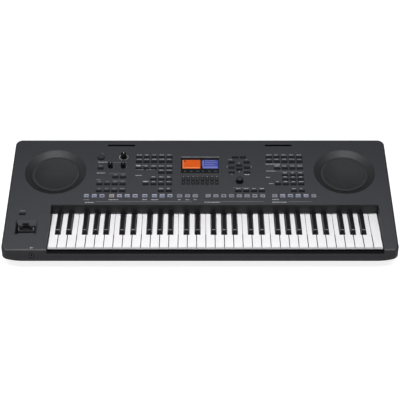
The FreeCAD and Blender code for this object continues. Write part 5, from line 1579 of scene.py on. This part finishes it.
@dataclass
class PanelPrint:
    """Legends and rules printed on the panel, as rows of plain blocks.

    Attributes:
        letter: Width of a block.
        gap: Gap between blocks.
        height: Height of a line of blocks.
        word: Fewest and most blocks in a word.
        ink: Thickness of the print.
        offset: From a cap's back edge to the middle of its legend.
        width_shares: How far the width of a legend goes down and up, as shares of its middle width.
        cursor_legends: How many cursor buttons carry a legend, counted from the last.
        label_half: Half the width of the label of a key at the display.
        label_gap: From that key's back edge to the middle of its label.
        rule: Width of a ruled line.
        window_rule: Low X, high X, low Y and high Y of the line over the display.
        tick_half: Half the length of a tick on a scale.
        scale_start: Where a scale starts, in degrees.
        scale_sweep: How far it goes round, clockwise.
        triangle: Size of a triangle at the cursor keys.
        sign: Middle of the headphone sign on the panel.
        sign_band: Inner and outer radius of its band.
        sign_points: Points round its band.
        cup_reach: From its middle to the middle of an ear cup.
        cup_half: Half the width of an ear cup.
        cup_rise: Low and high end of an ear cup, from the sign's middle.
        layers: The print in the making, by strength.
        draw: Random draws for the words.
    """

    letter: float = 1.2 * MM
    gap: float = 0.35 * MM
    height: float = 2.3 * MM
    word: tuple[int, int] = (3, 7)
    ink: float = 0.06 * MM
    offset: float = 6.6 * MM
    width_shares: tuple[float, float] = (0.7, 1.15)
    cursor_legends: int = 4
    label_half: float = 1.2 * MM
    label_gap: float = 1.9 * MM
    rule: float = 0.7 * MM
    window_rule: Sides = (-50.3 * MM, 51.3 * MM, 331.2 * MM, 332.1 * MM)
    tick_half: float = 0.9 * MM
    scale_start: float = 240.0
    scale_sweep: float = 300.0
    triangle: float = 2 * MM
    sign: tuple[float, float] = (-423.9 * MM, 6.6 * MM)
    sign_band: tuple[float, float] = (1.7 * MM, 2.4 * MM)
    sign_points: int = 24
    cup_reach: float = 2.7 * MM
    cup_half: float = 0.6 * MM
    cup_rise: tuple[float, float] = (-2.2 * MM, 0.6 * MM)
    layers: dict[Tone, Sculpt] = field(default_factory=lambda: {tone: Sculpt() for tone in Tone})
    draw: random.Random = field(default_factory=lambda: random.Random(SEED))

    # Legends: node, share of a cap's width, and strength
    LEGENDS = (
        ("left_buttons", 0.62, Tone.FAINT), ("style_buttons", 0.85, Tone.PLAIN),
        ("setting_buttons", 0.7, Tone.PLAIN), ("voice_buttons", 0.8, Tone.PLAIN),
        ("effect_buttons", 0.62, Tone.PLAIN), ("cursor_buttons", 0.7, Tone.PLAIN),
    )
    # Headings: left, right, line up the panel, all in millimetres, and strength
    HEADINGS = (
        (-272, -248, 312, Tone.PLAIN), (-274, -251, 271, Tone.PLAIN), (-274, -262, 246, Tone.FAINT),
        (-171, -158, 299.5, Tone.BRIGHT), (-155, -142, 300, Tone.FAINT), (-171, -150, 284, Tone.FAINT),
        (-143, -121, 284, Tone.FAINT), (-171, -154, 262, Tone.PLAIN), (-150, -137, 240, Tone.BRIGHT),
        (176, 214, 304.5, Tone.PLAIN), (177, 203, 278.5, Tone.PLAIN), (175, 186, 255, Tone.PLAIN),
        (182, 194, 232, Tone.PLAIN), (118, 131, 266.5, Tone.BRIGHT), (81, 88, 266.5, Tone.FAINT),
        (76, 86, 322, Tone.FAINT), (122, 130, 322, Tone.FAINT), (-299, -275, 163.5, Tone.PLAIN),
        (12, 54, 164.5, Tone.PLAIN), (188, 225, 164.5, Tone.PLAIN), (-464, -450, 134, Tone.FAINT),
        (-238, -213, 173.5, Tone.PLAIN), (-150, -138, 173.5, Tone.PLAIN), (-127, -109, 173.5, Tone.PLAIN),
        (-57, -49, 173.5, Tone.PLAIN), (-37, -28, 173.5, Tone.PLAIN), (-16, -8, 173.5, Tone.PLAIN),
        (-303, -290, 173.5, Tone.FAINT), (188, 206, 174, Tone.PLAIN),
    )
    # Rules: left, right and line up the panel, in millimetres
    RULES = (
        (-233, -196, 311), (-243, -197, 270), (-232, -196, 242.5), (-271, -21, 167), (56, 166, 167),
        (230, 291, 166.5), (216, 275, 304), (205, 276, 277), (87, 129, 216.5),
    )
    SCALES = (
        *(Scale(node, 9.4 * MM, 7, Tone.FAINT, 0.4 * MM, 1.2 * MM, 14.5 * MM, Tone.PLAIN)
          for node in ("left_control_knob", "right_control_knob")),
        Scale("volume_knob", 11.4 * MM, 17, Tone.BRIGHT, 0.6 * MM, 2.5 * MM, 18.5 * MM, Tone.BRIGHT),
    )
    # Dots at the cursor keys and beside the power button: place and radius in millimetres, and points
    DOTS = ((72.4, 294.5, 1.3, 16), (136.5, 294.5, 1.3, 16),
            (-264.9, 346.4, 0.9, 12), (-260.1, 343.4, 0.9, 12))
    # Triangles at the cursor keys: place in millimetres, the way they point and strength
    TRIANGLES = ((104.5, 308.5, math.pi / 2, Tone.PLAIN), (104.5, 275.8, -math.pi / 2, Tone.BRIGHT))

    def build(self) -> None:
        """Print every legend."""
        for node, share, tone in self.LEGENDS:
            first = -self.cursor_legends if node == "cursor_buttons" else 0
            for cap in caps_of(node)[first:]:
                self.legend(cap, share, tone)
        for cap in caps_of("display_buttons_upper"):
            self.words(cap.middle.x, self.label_half, cap.high.y + self.label_gap, Tone.PLAIN)
        for low_x, high_x, line, tone in self.HEADINGS:
            self.words((low_x + high_x) / 2 * MM, (high_x - low_x) / 2 * MM, line * MM, tone)
        for low_x, high_x, line in self.RULES:
            y = line * MM
            self.bar(Tone.FAINT, low_x * MM, high_x * MM, y - self.rule / 2, y + self.rule / 2)
        self.bar(Tone.PLAIN, *self.window_rule)
        for scale in self.SCALES:
            self.scale(scale)
        self.symbols()
        for tone, layer in self.layers.items():
            layer.place("panel_print_" + tone.name.lower(), tone.value, CASE, "charcoal_plastic")

    def bar(self, tone: Tone, low_x: float, high_x: float, low_y: float, high_y: float) -> None:
        """Print a rectangle."""
        self.layers[tone].bar(low_x, high_x, low_y, high_y, -self.ink, self.ink)

    def shape(self, tone: Tone, outline: Outline) -> None:
        """Print an outline, filled."""
        self.layers[tone].prism(outline, -self.ink, self.ink)

    def legend(self, cap: Cap, share: float, tone: Tone) -> None:
        """Print a legend behind one cap.

        Args:
            cap: The cap.
            share: The legend's middle width as a share of the cap's.
            tone: How strongly it is printed.
        """
        half = cap.radius * share * self.draw.uniform(*self.width_shares)
        self.words(cap.middle.x, half, cap.high.y + self.offset, tone)

    def words(self, middle: float, half: float, line: float, tone: Tone) -> None:
        """Fill a stretch with blocks in groups, as words stand in a line.

        Args:
            middle: The middle of the stretch, across the panel.
            half: Half its width.
            line: The middle of the line, up the panel.
            tone: How strongly it is printed.
        """
        x, left_in_word = middle - half, self.draw.randint(*self.word)
        while x + self.letter <= middle + half + self.gap:
            self.bar(tone, x, x + self.letter, line - self.height / 2, line + self.height / 2)
            left_in_word -= 1
            x += self.letter + self.gap
            if not left_in_word:
                x += self.letter
                left_in_word = self.draw.randint(*self.word)

    def scale(self, scale: Scale) -> None:
        """Print ticks round a knob, from one end of its turn to the other, and its label.

        Args:
            scale: The scale.
        """
        knob = on_panel(scale.node).middle
        for i in range(scale.ticks):
            turn = math.radians(self.scale_start - self.scale_sweep * i / (scale.ticks - 1))
            out, across = Vector((math.cos(turn), math.sin(turn))), Vector((-math.sin(turn), math.cos(turn)))
            corners = [knob.xy + out * (scale.radius + r * self.tick_half) + across * (w * scale.half_width)
                       for r, w in ((-1, -1), (1, -1), (1, 1), (-1, 1))]
            self.shape(scale.tone, [(corner.x, corner.y) for corner in corners])
        self.words(knob.x, scale.label_half, knob.y + scale.label_gap, scale.label_tone)

    def symbols(self) -> None:
        """Print the dots and triangles at the cursor keys and power button, and the headphone sign."""
        for x, y, radius, count in self.DOTS:
            self.shape(Tone.PLAIN, circle(x * MM, y * MM, radius * MM, count))
        for x, y, way, tone in self.TRIANGLES:
            self.shape(tone, circle(x * MM, y * MM, self.triangle, 3, way))
        x, y = self.sign
        self.layers[Tone.PLAIN].tube(x, y, *self.sign_band, -self.ink, self.ink, self.sign_points)
        low, high = (y + rise for rise in self.cup_rise)
        for cup in (x - self.cup_reach, x + self.cup_reach):
            self.bar(Tone.PLAIN, cup - self.cup_half, cup + self.cup_half, low, high)


@dataclass(frozen=True)
class Lamp:
    """A soft oblong lamp.

    Attributes:
        name: The lamp's name.
        spot: Where it hangs.
        aim: What it points at.
        sides: Its width and height.
        watts: Its power.
        spread: How wide its beam opens, in degrees.
    """

    name: str
    spot: tuple[float, float, float]
    aim: tuple[float, float, float]
    sides: tuple[float, float]
    watts: float
    spread: float

    def hang(self) -> None:
        """Hang the lamp in the scene."""
        data = bpy.data.lights.new(self.name, "AREA")
        data.shape = "RECTANGLE"
        data.size, data.size_y = self.sides
        data.energy = self.watts
        data.spread = math.radians(self.spread)
        piece = bpy.data.objects.new(self.name, data)
        piece.location = self.spot
        piece.rotation_euler = (Vector(self.aim) - Vector(self.spot)).to_track_quat("-Z", "Y").to_euler()
        bpy.context.scene.collection.objects.link(piece)


@dataclass
class Studio:
    """A pale floor, soft light and a camera at the photo's angle.

    Attributes:
        eye: Where the camera stands.
        pitch: How far it looks down, in degrees.
        lens_mm: Its focal length.
        sensor_mm: Its sensor's width.
        view_end: How far it sees.
        floor_half: Half the floor's side.
        white: Colour of the background.
        paper: Colour of the floor's paper.
        paper_roughness: Its roughness.
        paper_reach: Distances from the middle where the floor is dimmest and brightest to the camera.
        paper_glow: How bright it is there.
        sky: Strength of the light from all round.
        gloss: How much of the white background shows in gloss and glass, where all of it would wash out
            the black plastic.
    """

    eye: Vector = field(default_factory=lambda: Vector((0, -2668.5, 1986)) * MM)
    pitch: float = 35.6
    lens_mm: float = 112.5
    sensor_mm: float = 36.0
    view_end: float = 50.0
    floor_half: float = 6.0
    white: str = "#ffffff"
    paper: str = "#a4a4a4"
    paper_roughness: float = 0.9
    paper_reach: tuple[float, float] = (0.55, 1.0)
    paper_glow: tuple[float, float] = (0.86, 1.0)
    sky: float = 0.06
    gloss: float = 0.25

    # The back light is too low to reach the sloping panel and lights the back wall alone.
    LAMPS = (
        Lamp("key_light", (-0.05, -1.0, 1.9), (-0.02, -0.34, 0.06), (2.2, 0.7), 10.8, 58),
        Lamp("top_light", (0, -0.25, 2.2), (0, -0.1, 0.06), (1.8, 0.06), 1.8, 100),
        Lamp("back_light", (0, 2.6, 0.36), (0, 0.2, 0.07), (2.4, 0.3), 5, 60),
    )

    def build(self) -> None:
        """Set up floor, light and camera."""
        scene = bpy.context.scene
        scene.view_settings.view_transform = "Standard"
        self.camera(scene)
        self.world(scene)
        self.floor()
        for lamp in self.LAMPS:
            lamp.hang()

    def camera(self, scene: bpy.types.Scene) -> None:
        """Stand the camera where the photo was taken from.

        Args:
            scene: The scene that it looks at.
        """
        data = bpy.data.cameras.new("photo_camera")
        data.lens = self.lens_mm
        data.sensor_width = self.sensor_mm
        data.sensor_fit = "HORIZONTAL"
        data.clip_end = self.view_end
        piece = bpy.data.objects.new("photo_camera", data)
        piece.location = self.eye
        piece.rotation_euler = (math.radians(90 - self.pitch), 0, 0)
        scene.collection.objects.link(piece)
        scene.camera = piece

    def world(self, scene: bpy.types.Scene) -> None:
        """Light the room evenly, and show it white to the camera and dimmer in gloss and glass.

        Args:
            scene: The scene in the room.
        """
        world = bpy.data.worlds.new("studio_room")
        world.use_nodes = True
        tree = world.node_tree
        strength = add_node(tree, "ShaderNodeMapRange", {"To Min": self.sky, "To Max": 1.0},
                            {"Value": self.seen(tree)})
        tree.links.new(strength.outputs["Result"], tree.nodes["Background"].inputs["Strength"])
        tree.nodes["Background"].inputs["Color"].default_value = linear(self.white)
        scene.world = world

    def seen(self, tree: bpy.types.NodeTree) -> bpy.types.NodeSocket:
        """Work out how strongly a ray sees the white background.

        Args:
            tree: The node tree of the background.

        Returns:
            A socket with 1 for the camera's rays and less for those off a gloss or through glass.
        """
        sight = add_node(tree, "ShaderNodeLightPath").outputs
        bounced = add_node(tree, "ShaderNodeMath", {"operation": "MAXIMUM"},
                           {0: sight["Is Glossy Ray"], 1: sight["Is Transmission Ray"]})
        seen = add_node(tree, "ShaderNodeMath", {"operation": "MULTIPLY_ADD", 1: self.gloss},
                        {0: bounced.outputs["Value"], 2: sight["Is Camera Ray"]})
        return seen.outputs["Value"]

    def floor(self) -> None:
        """Lay a white sweep of paper on the table."""
        half = self.floor_half
        corners = [(-half, -half, 0), (half, -half, 0), (half, half, 0), (-half, half, 0)]
        data = bpy.data.meshes.new("floor")
        data.from_pydata(corners, [], [(0, 1, 2, 3)])
        data.materials.append(self.sweep())
        piece = bpy.data.objects.new("floor", data)
        bpy.context.scene.collection.objects.link(piece)

    def sweep(self) -> bpy.types.Material:
        """Make the paper, which grows white away from the keyboard as the background does.

        Returns:
            The new material.
        """
        paper = bpy.data.materials.new("white_paper_sweep")
        paper.use_nodes = True
        tree = paper.node_tree
        shader = tree.nodes["Principled BSDF"]
        place = add_node(tree, "ShaderNodeTexCoord").outputs["Object"]
        away = add_node(tree, "ShaderNodeVectorMath", {"operation": "LENGTH"}, {0: place})
        (near, far), (dim, full) = self.paper_reach, self.paper_glow
        white = add_node(tree, "ShaderNodeMapRange",
                         {"From Min": near, "From Max": far, "To Min": dim, "To Max": full},
                         {"Value": away.outputs["Value"]})
        lift = add_node(tree, "ShaderNodeMath", {"operation": "MULTIPLY"},
                        {0: self.seen(tree), 1: white.outputs["Result"]})
        shader.inputs["Base Color"].default_value = linear(self.paper)
        shader.inputs["Roughness"].default_value = self.paper_roughness
        shader.inputs["Emission Color"].default_value = linear(self.white)
        tree.links.new(lift.outputs["Value"], shader.inputs["Emission Strength"])
        return paper


def main() -> None:
    """Dress the keyboard and set the studio."""
    logging.basicConfig(level=logging.INFO, format="%(name)s: %(message)s")
    for part in (CaseShell(), KeyBed(), SpeakerPair(), Display(), Controls(), KnobSet(), Joystick(),
                 Sockets(), PanelPrint(), Studio()):
        LOG.info("building %s", type(part).__name__)
        part.build()
    bpy.context.view_layer.update()


if __name__ == "__main__":
    main()
